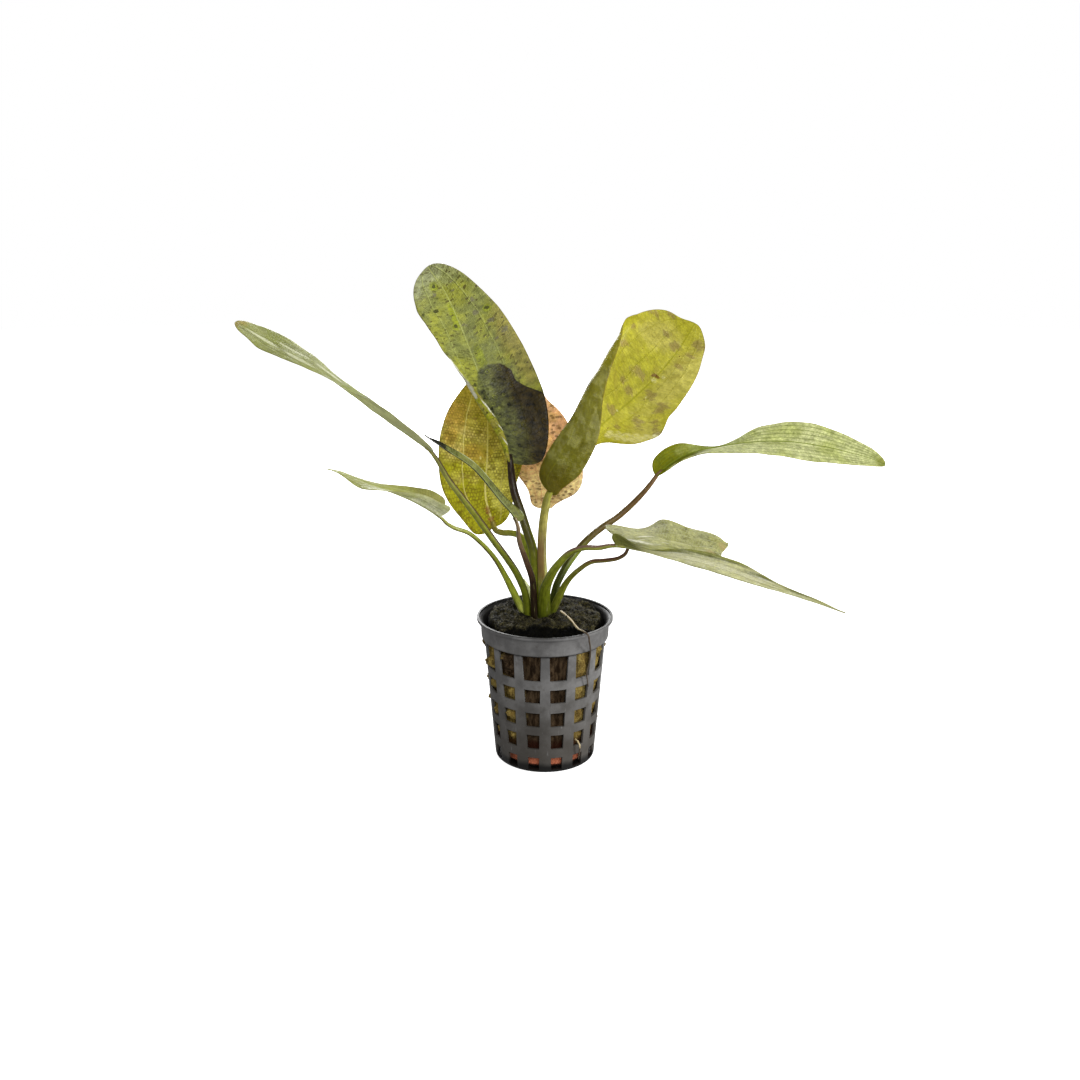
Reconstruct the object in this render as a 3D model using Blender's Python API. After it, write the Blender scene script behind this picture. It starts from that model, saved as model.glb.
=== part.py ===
"""Potted amazon sword plant: ten stalked leaves on one crown, in a rockwool plug in a net pot.

The origin is the centre of the pot's base. X points to the plant's right, Y to its back and
Z up. The tables are in millimetres, and the solids are in metres.
"""

import math
from dataclasses import dataclass

import bmesh
import bpy
import numpy as np
from mathutils import Matrix, Vector, noise

MM = 0.001
GAP = 0.3  # clearance between pieces that touch, mm

# The net pot, outside sizes in mm.
POT_HEIGHT = 60.0
LIP_RADIUS = 27.5
LIP_HEIGHT = 1.5
SKIRT_RADIUS = 26.0
SKIRT_FOOT = 51.6
BODY_TOP = 51.1
BODY_TOP_RADIUS = 24.6
BASE_RADIUS = 20.5
BASE_ROUNDING = 1.2
WALL = 0.9
COLUMNS = 14
WINDOW_ROWS = [(1.2, 6.7), (10.6, 16.9), (20.5, 26.7), (30.9, 36.8), (40.5, BODY_TOP)]
WINDOW_HALF_ANGLE = (6.0, 8.9)  # degrees, at the lowest and the highest edge

# What fills the pot.
DISC_RADIUS = 17.6
DISC_THICKNESS = 6.8
PLUG_CLEARANCE = 1.0
PLUG_LUMP = 0.55
PLUG_TOP = 60.4
PLUG_RIM_RADIUS = 23.6
PLUG_RIM_DROP = 1.2
PLUG_TILT = 0.05  # rise of the plug's top towards the back
PLUG_FRONT_DROP = 5.0
PLUG_FRONT_EDGE = 15.5  # how far forward the top reaches before it drops
CROWN_SEAT = 58.4  # height of the dip that the crown sits in
CROWN_CENTRE = (-2.8, 1.8)
CROWN_RADIUS = 8.0
CROWN_TOP = 59.9

BLADE_THICKNESS = 0.5
BLADE_STEPS = 12
THINNEST_HALF = 0.5
STALK_SIDES = 6
STALK_STEPS = 9


@dataclass
class Leaf:
    """One leaf. Lists run from the stalk to the tip, at even steps of the way."""

    name: str
    colour: tuple
    stalk: list  # points up the stalk from the crown, mm
    stalk_radius: list  # across the stalk, mm
    sheath_facing: tuple  # the way that the flat inner side of the foot looks
    rib: list  # points along the midrib, mm
    upper: tuple  # the way that the blade's upper face looks
    left: list  # half width left of the midrib, mm
    right: list
    roll: tuple = (0,)  # turn about the midrib that lifts the right half, degrees
    fold_left: tuple = (8,)  # rise of a half out of the flat, at the midrib, degrees
    fold_right: tuple = (8,)
    curl_left: tuple = (0,)  # more bend on the way to the margin, degrees
    curl_right: tuple = (0,)
    crease_left: tuple = (0.5,)  # where that bend lies, as a share of the half width
    crease_right: tuple = (0.5,)
    crease_softness: float = 0.5
    lobes: tuple = (0, 0)  # how far the base reaches back past the stalk, left and right, mm
    ripple: tuple = (0, 0, 0)  # height of the wavy margin in mm, waves, start of the first
    columns: int = 4  # faces across the blade


LEAVES = [
    Leaf(
        name="tall_left",
        colour=(0.24, 0.27, 0.07),
        stalk=[(-4, 4.4, 60.7), (-4, 6, 75), (-5, 8, 85.5), (-7.5, 10, 93), (-10, 12.5, 100.5),
               (-12.5, 15.5, 107.5), (-13.5, 17, 113), (-14, 18, 118.3)],
        stalk_radius=[1.3, 1.4, 1.4, 1.3, 1.2, 1.05],
        sheath_facing=(0, -1, 0.1),
        rib=[(-14, 18, 119.3), (-16.5, 25, 130), (-23.5, 32, 144), (-29, 36, 157.5), (-35.5, 39, 174),
             (-41, 39, 186), (-47.5, 36, 196)],
        upper=(0.35, -0.93, 0.1),
        left=[1, 6.5, 16, 16.5, 12, 13.5, 15, 11.5, 0.5],
        right=[1, 12, 17.5, 22, 21.5, 18, 10.5, 4, 0.5],
        fold_left=(15, 10, 6, 5),
        curl_left=(120, 130, 120, 20, 10, 5),
        crease_left=(0.6, 0.7, 0.8, 0.8, 0.6, 0.5),
        curl_right=(15, 15, 12, 8, 5),
        lobes=(4, 12),
        columns=8,
    ),
    Leaf(
        name="back_left",
        colour=(0.33, 0.30, 0.05),
        stalk=[(-4.5, 7.5, 60.7), (-4.7, 10.5, 73.5), (-5.5, 12.5, 77), (-7, 15.5, 81.5),
               (-8.5, 19, 85.5), (-11, 22, 87.5), (-14.5, 25, 87.7), (-18, 27, 87.3),
               (-21, 29, 88)],
        stalk_radius=[1.2, 1.1, 1.0, 0.8, 0.7],
        sheath_facing=(-0.3, -1, 0.6),
        rib=[(-21.5, 30, 89), (-25, 34, 100), (-24.5, 40, 117.5), (-24.5, 46, 130), (-25, 52, 141.5),
             (-26, 56, 151)],
        upper=(0, -0.93, 0.35),
        left=[1, 8.5, 12.5, 19.5, 21, 18.5, 13, 6.5, 0.5],
        right=[1, 7.5, 12, 14, 16.5, 15.5, 12, 6.5, 0.5],
        curl_left=(12,),
        curl_right=(12,),
        lobes=(11, 1),
    ),
    Leaf(
        name="tall_right",
        colour=(0.38, 0.36, 0.05),
        stalk=[(-0.3, 2.6, 60.7), (-1, 4.5, 75.5), (-1.3, 6.5, 85.5), (-1, 8.5, 93),
               (0, 10.5, 101), (1.5, 11.8, 107)],
        stalk_radius=[1.5, 1.7, 1.6, 1.5, 1.3],
        sheath_facing=(0, -1, 0.1),
        rib=[(2, 12, 108), (9, 15, 119), (22.5, 21, 133.5), (36, 28, 143.5), (49.5, 34, 156),
             (56, 38, 163.5), (62, 39, 173.5)],
        upper=(0, -0.9, 0.4),
        left=[1, 20, 29, 28.5, 26.5, 29.5, 26.5, 16.5, 0.5],
        right=[1, 6.5, 9, 8, 17, 15.5, 11.5, 6, 0.5],
        fold_left=(24, 8, 12, 20, -2, -1, -4, -8, -12),
        fold_right=(-93, -105, -75, -62, -5, 15, 7, 0, -5),
        curl_left=(210, 212, 196, 175, 185, 128, 76, 14, 0),
        crease_left=(0.32, 0.42, 0.4, 0.48, 0.72, 0.76, 0.8, 0.62, 0.5),
        crease_softness=0.25,
        lobes=(1.5, 0),
        columns=10,
    ),
    Leaf(
        name="back_bronze",
        colour=(0.45, 0.27, 0.14),
        stalk=[(-0.8, 7.6, 60.7), (-1.5, 12, 71), (-1, 18, 78), (-0.5, 24, 85), (0, 29, 91.5),
               (0.8, 32.3, 95.2)],
        stalk_radius=[1.1, 1.1, 1.0],
        sheath_facing=(0, -1, 0.4),
        rib=[(1.2, 33, 96.3), (1, 41, 109), (-0.5, 48, 117.5), (0, 53, 129.5), (-2, 56, 140.5),
             (-3, 58, 148)],
        upper=(0, -0.95, 0.3),
        left=[1, 6.5, 8.5, 13.5, 14, 14, 9.5, 5, 0.5],
        right=[1, 4, 13.5, 16, 15.5, 9, 3, 0.5, 0.5],
        lobes=(2, 2),
        ripple=(1.2, 3, 0.1),
    ),
    Leaf(
        name="long_left",
        colour=(0.36, 0.40, 0.14),
        stalk=[(-7, -0.8, 60.7), (-8, -2, 70), (-11, -3, 78), (-14.5, -5, 84.5), (-20, -7, 93),
               (-25.5, -8, 101.5), (-31, -9, 109.5), (-36.5, -10, 117.5), (-42, -10, 127)],
        stalk_radius=[1.6, 1.6, 1.35, 1.3, 1.15, 1.0],
        sheath_facing=(0.5, 0.3, 1),
        rib=[(-42.8, -10, 128.5), (-46.5, -10, 131.5), (-61, -8, 141.5), (-75.5, -4, 151.5),
             (-90.5, 0, 161.5), (-99.5, 4, 165.5), (-106, 7, 168.5), (-118.5, 9, 176)],
        upper=(0.2, -0.23, 0.95),
        left=[1, 3, 4.5, 6.5, 3, 6.5, 8.5, 5.5, 0.5],
        right=[1, 3.5, 5.5, 8.5, 6.5, 9, 9.5, 5, 0.5],
        fold_left=(60, 60, 60, 40, 0, 0, 0, 0),
        fold_right=(-10, -10, -10, 0, 0),
    ),
    Leaf(
        name="narrow_front",
        colour=(0.22, 0.28, 0.10),
        stalk=[(-4.3, -4.4, 60.7), (-4.5, -5, 69), (-5, -7, 77), (-7.5, -10.5, 86),
               (-10, -14, 95), (-10.7, -16, 102)],
        stalk_radius=[1.15, 1.15, 1.0, 0.8],
        sheath_facing=(0, 1, 0.5),
        rib=[(-11, -16, 103), (-13, -16.5, 106.5), (-17, -17.5, 111.5), (-21, -18.5, 117),
             (-27.5, -20.5, 125), (-35.5, -22.5, 131), (-44, -25, 137.5)],
        upper=(0.3, 0.1, 0.9),
        left=[1, 2, 2, 2, 2, 2, 1, 1, 0.5],
        right=[1, 6, 4, 3.5, 3, 1.5, 1.5, 0.5, 0.5],
        fold_left=(0,),
        fold_right=(50,),
        lobes=(1, 4),
    ),
    Leaf(
        name="low_left",
        colour=(0.34, 0.38, 0.14),
        stalk=[(-9, 2.3, 60.7), (-11, 1.5, 65.5), (-13.5, 0, 71.5), (-16, -2.5, 77.5),
               (-20, -6.5, 86), (-24.5, -10, 92.5), (-29.5, -14, 98), (-34.5, -18, 101),
               (-37, -21, 103.5), (-38.3, -24, 106)],
        stalk_radius=[1.5, 1.4, 0.95, 0.75, 0.65, 0.6],
        sheath_facing=(0.7, 0.3, 1),
        rib=[(-39, -25, 107), (-44.5, -27, 111.5), (-54, -30, 117), (-61.5, -32, 120),
             (-69, -34, 123.5), (-74.5, -36, 126.5), (-77.5, -37, 127.5)],
        upper=(0.3, 0, 0.95),
        left=[1, 7, 5.5, 5, 4.5, 5.5, 2, 0.5, 0.5],
        right=[1, 6.5, 7, 5.5, 3, 2, 1.5, 0.5, 0.5],
        roll=(10,),
        fold_left=(70, 70, 65, 20, -5, -5, 0),
        fold_right=(40, 40, 20, 5, 0),
        lobes=(2, 1.5),
    ),
    Leaf(
        name="long_right",
        colour=(0.40, 0.44, 0.18),
        stalk=[(2.6, 5, 60.7), (4.5, 6, 70), (7.5, 8, 76), (11.5, 10.5, 81.5), (17, 13, 87.5),
               (23.5, 15.5, 92.5), (30, 17.5, 96.5), (36.5, 19, 102), (42.5, 20, 108.5),
               (45.2, 20.8, 112)],
        stalk_radius=[1.4, 1.3, 1.1, 1.0, 1.0, 0.9],
        sheath_facing=(-0.5, -0.2, 1),
        rib=[(45.5, 21, 113), (56, 24, 120), (65, 27, 122.5), (75.5, 29, 124), (89, 30, 125.5),
             (101.5, 30, 125.5), (111, 29, 124.5), (126, 27, 121.5), (134, 25, 119.5),
             (140.5, 24, 117)],
        upper=(-0.1, -0.3, 0.95),
        left=[1, 6, 6, 1, 10, 12.5, 8, 4.5, 0.5],
        right=[1, 3.5, 6, 11, 14, 13.5, 9, 4, 0.5],
        fold_left=(60, 60, 45, 10, 13, 18, 20, 20, 15),
        fold_right=(18, 18, 18, 10, 0, -3, -5, -5),
    ),
    Leaf(
        name="torn_right",
        colour=(0.36, 0.40, 0.20),
        stalk=[(2.8, 0.6, 60.8), (6, -2, 69.5), (9, -5, 76), (13.5, -9, 82), (18, -12.5, 86),
               (23.5, -15.5, 87.5), (28, -17.5, 89), (30.3, -19, 91), (31.5, -20, 94)],
        stalk_radius=[1.9, 1.8, 1.1, 0.8, 0.65, 0.6],
        sheath_facing=(-0.6, 0.3, 1),
        rib=[(32, -20, 95.5), (38, -18, 96.5), (48.5, -16, 95), (55.5, -14.5, 93), (63.5, -14, 92),
             (70.5, -15, 89.5)],
        upper=(0.1, -0.1, 1),
        left=[1, 14.5, 20, 17.5, 21, 16, 14, 11.5, 15.5],
        right=[1, 5, 8, 12, 11.5, 10, 9.5, 7, 5],
        fold_left=(5, 5, -8, 5, 5, 3, 0),
        fold_right=(14, 14, 10, 8),
        lobes=(9.5, 2),
    ),
    Leaf(
        name="low_right",
        colour=(0.44, 0.48, 0.24),
        stalk=[(-0.4, -2.6, 60.8), (0, -5.5, 72.5), (2, -9, 79), (5.5, -14, 86),
               (10, -19.5, 92), (15, -24.5, 95), (20, -28, 96), (24.4, -30.5, 97.5)],
        stalk_radius=[2.2, 2.1, 1.6, 1.2, 0.9, 0.8],
        sheath_facing=(-0.4, 0.5, 1),
        rib=[(26, -32, 98), (36.5, -34, 96.5), (44, -37, 95), (57, -39, 91.5), (76.5, -40, 85.5),
             (88.5, -40, 82), (99.5, -39, 78), (110, -37, 73.5)],
        upper=(0.1, -0.3, 1),
        left=[1, 7.5, 7.5, 9, 6, 3, 1.5, 0.5, 0.5],
        right=[1, 6, 4.5, 7.5, 7.5, 3, 1.5, 0.5, 0.5],
        fold_left=(-6,),
        fold_right=(80, 75, 40, 75, 80, 80, 80, 80, 80),
        lobes=(6, 6.5),
    ),
]

STUB = [(-6.2, 2.5, 60.8), (-7.3, 3, 69), (-8.5, 3, 74.5)]  # up the old sheath, mm
STUB_WIDTHS = [1.4, 1.9, 0.6]

# Roots: points along each in mm, with its radius.
ROOTS = {
    "root_over_rim": (
        [(6.5, 1.1, 61), (8.3, -3.2, 61), (10.7, -11, 61), (12.8, -18.5, 60.7), (14.8, -22.7, 61),
         (16.4, -24.2, 60.3), (17, -23.4, 57), (17.6, -20.6, 51), (16.3, -19.4, 42), (17, -18, 36.5)],
        0.45,
    ),
    "root_low_window": (
        [(12.1, -15.8, 12.6), (13, -17, 12.4), (13.9, -18, 10.8), (13.8, -17.6, 8), (13.4, -17, 4.5)],
        0.35,
    ),
}


def through(knots, values, at):
    """Smooth line that passes through the values at the knots."""
    knots = np.asarray(knots, float)
    values = np.asarray(values, float)
    slopes = np.gradient(values, knots, axis=0)
    step = np.clip(np.searchsorted(knots, at, side="right") - 1, 0, len(knots) - 2)
    span = knots[step + 1] - knots[step]
    f = (at - knots[step]) / span
    if values.ndim == 2:
        f, span = f[:, None], span[:, None]
    start = (1 + 2 * f) * (1 - f) ** 2 * values[step] + f * (1 - f) ** 2 * span * slopes[step]
    end = f * f * (3 - 2 * f) * values[step + 1] + f * f * (f - 1) * span * slopes[step + 1]
    return start + end


def profile(values, t):
    """Value at t, from 0 to 1, of a smooth line through values at even steps."""
    t = np.asarray(t, float)
    if len(values) == 1:
        return np.full_like(t, values[0])
    return through(np.linspace(0, 1, len(values)), values, t)


def along(points, u):
    """Place and direction at each u, from 0 to 1, on the smooth line through points."""
    points = np.asarray(points, float)
    runs = np.linalg.norm(np.diff(points, axis=0), axis=1)
    knots = np.concatenate([[0], np.cumsum(runs)]) / runs.sum()
    step = 0.001
    ahead = through(knots, points, np.clip(u + step, 0, 1))
    way = ahead - through(knots, points, np.clip(u - step, 0, 1))
    return through(knots, points, u), way / np.linalg.norm(way, axis=1, keepdims=True)


def frames(points, facing, roll, u):
    """Place, forward, right and up at each u, where up is as near to facing as it can be."""
    place, forward = along(points, u)
    right = np.cross(forward, np.asarray(facing, float))
    right /= np.linalg.norm(right, axis=1, keepdims=True)
    up = np.cross(right, forward)
    turn = np.radians(roll)[:, None]
    return (
        place,
        forward,
        right * np.cos(turn) + up * np.sin(turn),
        up * np.cos(turn) - right * np.sin(turn),
    )


def section(out, fold, curl, crease, softness):
    """Run and rise of half a blade at out, 0 at the midrib and 1 at the margin, per unit width."""
    slices = 12
    part = (np.arange(slices) + 0.5) / slices * out[:, None]
    f = np.clip((part - crease[:, None] + softness) / (2 * softness), 0, 1)
    bend = np.radians(fold[:, None] + curl[:, None] * f * f * (3 - 2 * f))
    return out * np.cos(bend).mean(axis=1), out * np.sin(bend).mean(axis=1)


def blade_points(leaf, t, s):
    """Points of the blade in mm: t from 0 at the stalk to 1 at the tip, s from -1 right to 1 left."""
    u = (1 - np.cos(np.pi * t)) / 2
    place, forward, right, up = frames(leaf.rib, leaf.upper, profile(leaf.roll, t), u)
    on_left = s > 0
    out = np.abs(s)

    def side(left, right):
        return np.where(on_left, profile(left, t), profile(right, t))

    width = np.maximum(side(leaf.left, leaf.right), THINNEST_HALF)
    run, rise = section(
        out,
        side(leaf.fold_left, leaf.fold_right),
        side(leaf.curl_left, leaf.curl_right),
        side(leaf.crease_left, leaf.crease_right),
        leaf.crease_softness,
    )
    height, waves, start = leaf.ripple
    wave = height * np.sin(2 * np.pi * (waves * u + start + 0.37 * on_left))
    wave *= out**2 * np.sin(np.pi * t)
    full = np.where(on_left, max(leaf.left), max(leaf.right))
    lobe = np.where(on_left, leaf.lobes[0], leaf.lobes[1])
    back = lobe * width * out / full * np.clip(1 - 2 * t, 0, 1)
    aside = width * run * np.where(on_left, -1, 1)
    points = place + right * aside[:, None] + up * (width * rise + wave)[:, None]
    return points - forward * back[:, None]


def material(name, colour, roughness):
    mat = bpy.data.materials.new(name)
    mat.use_nodes = True
    shader = mat.node_tree.nodes["Principled BSDF"]
    shader.inputs["Base Color"].default_value = (*colour, 1)
    shader.inputs["Roughness"].default_value = roughness
    shader.inputs["Metallic"].default_value = 0
    return mat


def add_object(name, bm, mat, smooth=True):
    """Turn a bmesh in mm into an object in metres."""
    bmesh.ops.transform(bm, matrix=Matrix.Scale(MM, 4), verts=bm.verts)
    mesh = bpy.data.meshes.new(name)
    bm.to_mesh(mesh)
    bm.free()
    obj = bpy.data.objects.new(name, mesh)
    bpy.context.scene.collection.objects.link(obj)
    mesh.materials.append(mat)
    if smooth:
        mesh.shade_smooth()
        mesh.set_sharp_from_angle(angle=math.radians(40))
    return obj


def frame_matrix(place, right, up, forward, width, depth):
    """Matrix that carries the unit circle to an oval section."""
    matrix = Matrix((right * width, up * depth, forward)).transposed().to_4x4()
    matrix.translation = place
    return matrix


def swept(sections, sides):
    """Closed tube through a list of section matrices."""
    bm = bmesh.new()
    bmesh.ops.create_circle(bm, cap_ends=True, segments=sides, radius=1)
    bmesh.ops.transform(bm, matrix=sections[0], verts=bm.verts)
    cap = bm.faces[:]
    for before, after in zip(sections, sections[1:]):
        grown = bmesh.ops.extrude_face_region(bm, geom=cap)["geom"]
        if before is not sections[0]:
            bmesh.ops.delete(bm, geom=cap, context="FACES_ONLY")
        cap = [g for g in grown if isinstance(g, bmesh.types.BMFace)]
        moved = [g for g in grown if isinstance(g, bmesh.types.BMVert)]
        bmesh.ops.transform(bm, matrix=after @ before.inverted(), verts=moved)
    bmesh.ops.recalc_face_normals(bm, faces=bm.faces)
    return bm


def tube(points, facing, widths, flatness, steps, sides):
    """Tube along points, with half widths and flatness given at even steps."""
    u = np.linspace(0, 1, steps + 1)
    place, forward, right, up = frames(points, facing, np.zeros_like(u), u)
    width = profile(widths, u)
    depth = width * profile(flatness, u)
    sections = [
        frame_matrix(Vector(p), Vector(r), Vector(n), Vector(f), w, d)
        for p, r, n, f, w, d in zip(place, right, up, forward, width, depth)
    ]
    return swept(sections, sides)


def build_blade(leaf):
    """One blade: a grid laid along the midrib and given its thickness."""
    bm = bmesh.new()
    bmesh.ops.create_grid(bm, x_segments=BLADE_STEPS, y_segments=leaf.columns, size=0.5)
    flat = np.array([v.co for v in bm.verts])
    places = blade_points(leaf, flat[:, 0] + 0.5, flat[:, 1] * 2)
    for vert, place in zip(bm.verts, places):
        vert.co = place
    obj = add_object("leaf_" + leaf.name, bm, material("leaf_" + leaf.name, leaf.colour, 0.45))
    solid = obj.modifiers.new("thickness", "SOLIDIFY")
    solid.thickness = BLADE_THICKNESS * MM
    solid.offset = 0


def build_stalk(leaf):
    """One stalk: an oval tube whose foot is flattened into a sheath."""
    bm = tube(
        leaf.stalk,
        leaf.sheath_facing,
        leaf.stalk_radius,
        (0.62, 0.8, 0.95, 1, 1),
        STALK_STEPS,
        STALK_SIDES,
    )
    shade = tuple(0.6 * c for c in leaf.colour)
    add_object("stalk_" + leaf.name, bm, material("stalk_" + leaf.name, shade, 0.4))


def build_stub():
    """The pale stub of an old leaf sheath."""
    bm = tube(STUB, (0.4, -1, 0.2), STUB_WIDTHS, (0.4,), 4, STALK_SIDES)
    add_object("leaf_stub", bm, material("leaf_stub", (0.45, 0.50, 0.25), 0.5))


def build_roots():
    for name, (points, radius) in ROOTS.items():
        bm = tube(points, (0.3, 0.9, 0.4), (radius, radius * 0.8), (1,), 3 * len(points) // 2, 5)
        add_object(name, bm, material(name, (0.55, 0.48, 0.33), 0.6))


def body_radius(z):
    """Outer radius of the pot's tapered body at height z."""
    return BASE_RADIUS + (BODY_TOP_RADIUS - BASE_RADIUS) * z / BODY_TOP


def pot_profile():
    """Radius and height up the outside of the pot, from the middle of the base to the lip."""
    edges = sorted(z for row in WINDOW_ROWS for z in row)
    flat = BASE_RADIUS - BASE_ROUNDING
    return (
        [(5, 0), (flat, 0), (flat + BASE_ROUNDING * 0.7, BASE_ROUNDING * 0.3)]
        + [(body_radius(z), z) for z in edges]
        + [(SKIRT_RADIUS - 0.3, SKIRT_FOOT), (SKIRT_RADIUS, POT_HEIGHT - LIP_HEIGHT)]
        + [(LIP_RADIUS, POT_HEIGHT - LIP_HEIGHT + 0.3), (LIP_RADIUS, POT_HEIGHT)]
    )


def window_angle(z):
    """Half the angle that a window spans at height z, degrees."""
    low, high = WINDOW_HALF_ANGLE
    return low + (high - low) * z / BODY_TOP


def build_pot():
    """The net pot: a turned shell with its windows taken out, then given its wall."""
    per_column = 4
    pitch = 360 / COLUMNS
    points = pot_profile()
    bm = bmesh.new()
    verts = [bm.verts.new((r, 0, z)) for r, z in points]
    edges = [bm.edges.new(pair) for pair in zip(verts, verts[1:])]
    bmesh.ops.spin(bm, geom=verts + edges, axis=(0, 0, 1), cent=(0, 0, 0), dvec=(0, 0, 0),
                   angle=math.tau, steps=COLUMNS * per_column, use_merge=True)
    hole = [e for e in bm.edges if e.is_boundary and e.verts[0].co.z < BASE_ROUNDING]
    bmesh.ops.contextual_create(bm, geom=hole)
    bmesh.ops.recalc_face_normals(bm, faces=bm.faces)

    def column_offset(co):
        """Angle from the middle of the nearest window, degrees; a rib stands at the front."""
        angle = math.degrees(math.atan2(co.x, -co.y))
        return (angle + pitch) % pitch - pitch / 2

    def in_window(face):
        centre = face.calc_center_median()
        in_row = any(low < centre.z < high for low, high in WINDOW_ROWS)
        return in_row and abs(column_offset(centre)) < pitch / per_column

    windows = [f for f in bm.faces if in_window(f)]
    bmesh.ops.delete(bm, geom=windows, context="FACES")
    for vert in bm.verts:
        offset = column_offset(vert.co)
        on_edge = abs(abs(offset) - pitch / per_column) < 0.5
        if on_edge and WINDOW_ROWS[0][0] - 0.1 < vert.co.z < BODY_TOP + 0.1:
            turn = math.copysign(window_angle(vert.co.z), offset) - offset
            vert.co = Matrix.Rotation(math.radians(turn), 3, "Z") @ vert.co
    obj = add_object("net_pot", bm, material("net_pot", (0.09, 0.09, 0.095), 0.45))
    wall = obj.modifiers.new("wall", "SOLIDIFY")
    wall.thickness = WALL * MM
    wall.offset = -1
    wall.use_even_offset = True


def circle_matrix(radius, z, x=0.0, y=0.0):
    """Matrix that carries the unit circle to a level ring."""
    return Matrix.LocRotScale(Vector((x, y, z)), None, Vector((radius, radius, 1)))


def build_disc():
    """The clay disc on the pot's floor."""
    low = WALL + GAP
    high = low + DISC_THICKNESS
    rounding = 0.8
    rings = [(DISC_RADIUS - rounding, low), (DISC_RADIUS, low + rounding)]
    rings += [(DISC_RADIUS + 0.4, high - rounding), (DISC_RADIUS - rounding, high)]
    bm = swept([circle_matrix(r, z) for r, z in rings], 24)
    add_object("clay_disc", bm, material("clay_disc", (0.32, 0.10, 0.04), 0.85))


def plug_top(x, y):
    """Height of the plug's top: near flat, with a round edge, and lower at the front."""
    edge = (math.hypot(x, y) / PLUG_RIM_RADIUS) ** 6
    front = min(max((-y - PLUG_FRONT_EDGE) / 4, 0), 1)
    return PLUG_TOP + PLUG_TILT * y - PLUG_RIM_DROP * edge - PLUG_FRONT_DROP * front


def build_plug():
    """The rockwool plug: a lumpy cone that fills the pot, with a dip for the crown."""
    low = WALL + GAP + DISC_THICKNESS + GAP
    heights = np.linspace(low, BODY_TOP, 6)
    rings = [(body_radius(z) - WALL - PLUG_CLEARANCE - 1.5 * (z == low), z) for z in heights]
    edge = len(rings)
    rings += [(PLUG_RIM_RADIUS, PLUG_TOP - 3), (PLUG_RIM_RADIUS - 0.8, PLUG_TOP)]
    rings += [(r, PLUG_TOP) for r in (19, 15.5, 13)]
    sides = 24
    bm = swept([circle_matrix(r, z) for r, z in rings], sides)
    bm.verts.ensure_lookup_table()
    for vert in bm.verts:
        x, y, z = vert.co
        ring = vert.index // sides
        radius = math.hypot(x, y)
        if ring == edge:
            vert.co.z = plug_top(x, y) - 1.6
        elif ring > edge:
            vert.co.z = plug_top(x, y) if radius > 14 else CROWN_SEAT
        if ring > 0 and radius > 14:
            lump = noise.noise(Vector((x, y, z)) * 0.22) * PLUG_LUMP
            vert.co += Vector((x, y, 0)).normalized() * (lump - 0.2)
    add_object("rockwool_plug", bm, material("rockwool_plug", (0.05, 0.045, 0.025), 0.95))


def build_crown():
    """The plant's crown: a low dark knob that the stalks stand on."""
    low = CROWN_SEAT + GAP
    rings = [(0.92, low), (1, low + 0.5), (0.95, CROWN_TOP - 0.3), (0.88, CROWN_TOP)]
    bm = swept([circle_matrix(CROWN_RADIUS * share, z, *CROWN_CENTRE) for share, z in rings], 16)
    add_object("crown", bm, material("crown", (0.03, 0.025, 0.015), 0.8))


def main():
    for obj in list(bpy.data.objects):
        bpy.data.objects.remove(obj, do_unlink=True)
    build_pot()
    build_disc()
    build_plug()
    build_crown()
    for leaf in LEAVES:
        build_stalk(leaf)
        build_blade(leaf)
    build_stub()
    build_roots()


main()
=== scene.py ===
"""Potted amazon sword plant: the looks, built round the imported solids.

The tables are in millimetres and the meshes in metres. The origin is the centre of the
pot's base, X points to the plant's right, Y to its back and Z up.
"""

import math
from dataclasses import dataclass
from functools import partialmethod

import bmesh
import bpy
import numpy as np
from mathutils import Matrix, Vector, noise


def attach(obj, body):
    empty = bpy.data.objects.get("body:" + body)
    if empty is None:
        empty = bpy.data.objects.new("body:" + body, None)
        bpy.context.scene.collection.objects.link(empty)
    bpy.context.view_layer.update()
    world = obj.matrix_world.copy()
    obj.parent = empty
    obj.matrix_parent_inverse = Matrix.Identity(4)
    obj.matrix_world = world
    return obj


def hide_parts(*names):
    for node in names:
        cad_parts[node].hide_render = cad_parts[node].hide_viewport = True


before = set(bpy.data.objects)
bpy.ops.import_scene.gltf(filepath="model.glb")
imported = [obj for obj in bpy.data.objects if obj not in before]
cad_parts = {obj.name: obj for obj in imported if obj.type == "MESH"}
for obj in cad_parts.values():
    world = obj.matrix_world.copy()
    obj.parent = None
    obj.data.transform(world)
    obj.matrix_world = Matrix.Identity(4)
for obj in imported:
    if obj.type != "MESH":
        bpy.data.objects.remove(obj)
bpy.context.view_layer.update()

MM = 0.001

# The net pot, outside sizes in mm.
POT_HEIGHT = 60.0
LIP_RADIUS = 27.5
LIP_HEIGHT = 1.5
SKIRT_RADIUS = 26.0
SKIRT_FOOT = 51.6
BODY_TOP = 51.1
BODY_TOP_RADIUS = 24.6
BASE_RADIUS = 20.5
BASE_ROUNDING = 1.2
WALL = 0.9
WALL_BEVEL = 0.28
COLUMNS = 14
COLUMN_PITCH = 360 / COLUMNS  # degrees
WINDOW_ROWS = [(1.2, 6.7), (10.6, 16.9), (20.5, 26.7), (30.9, 36.8), (40.5, BODY_TOP)]
WINDOW_HALF_ANGLE = (6.0, 8.9)  # degrees, at the lowest and the highest edge

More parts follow.
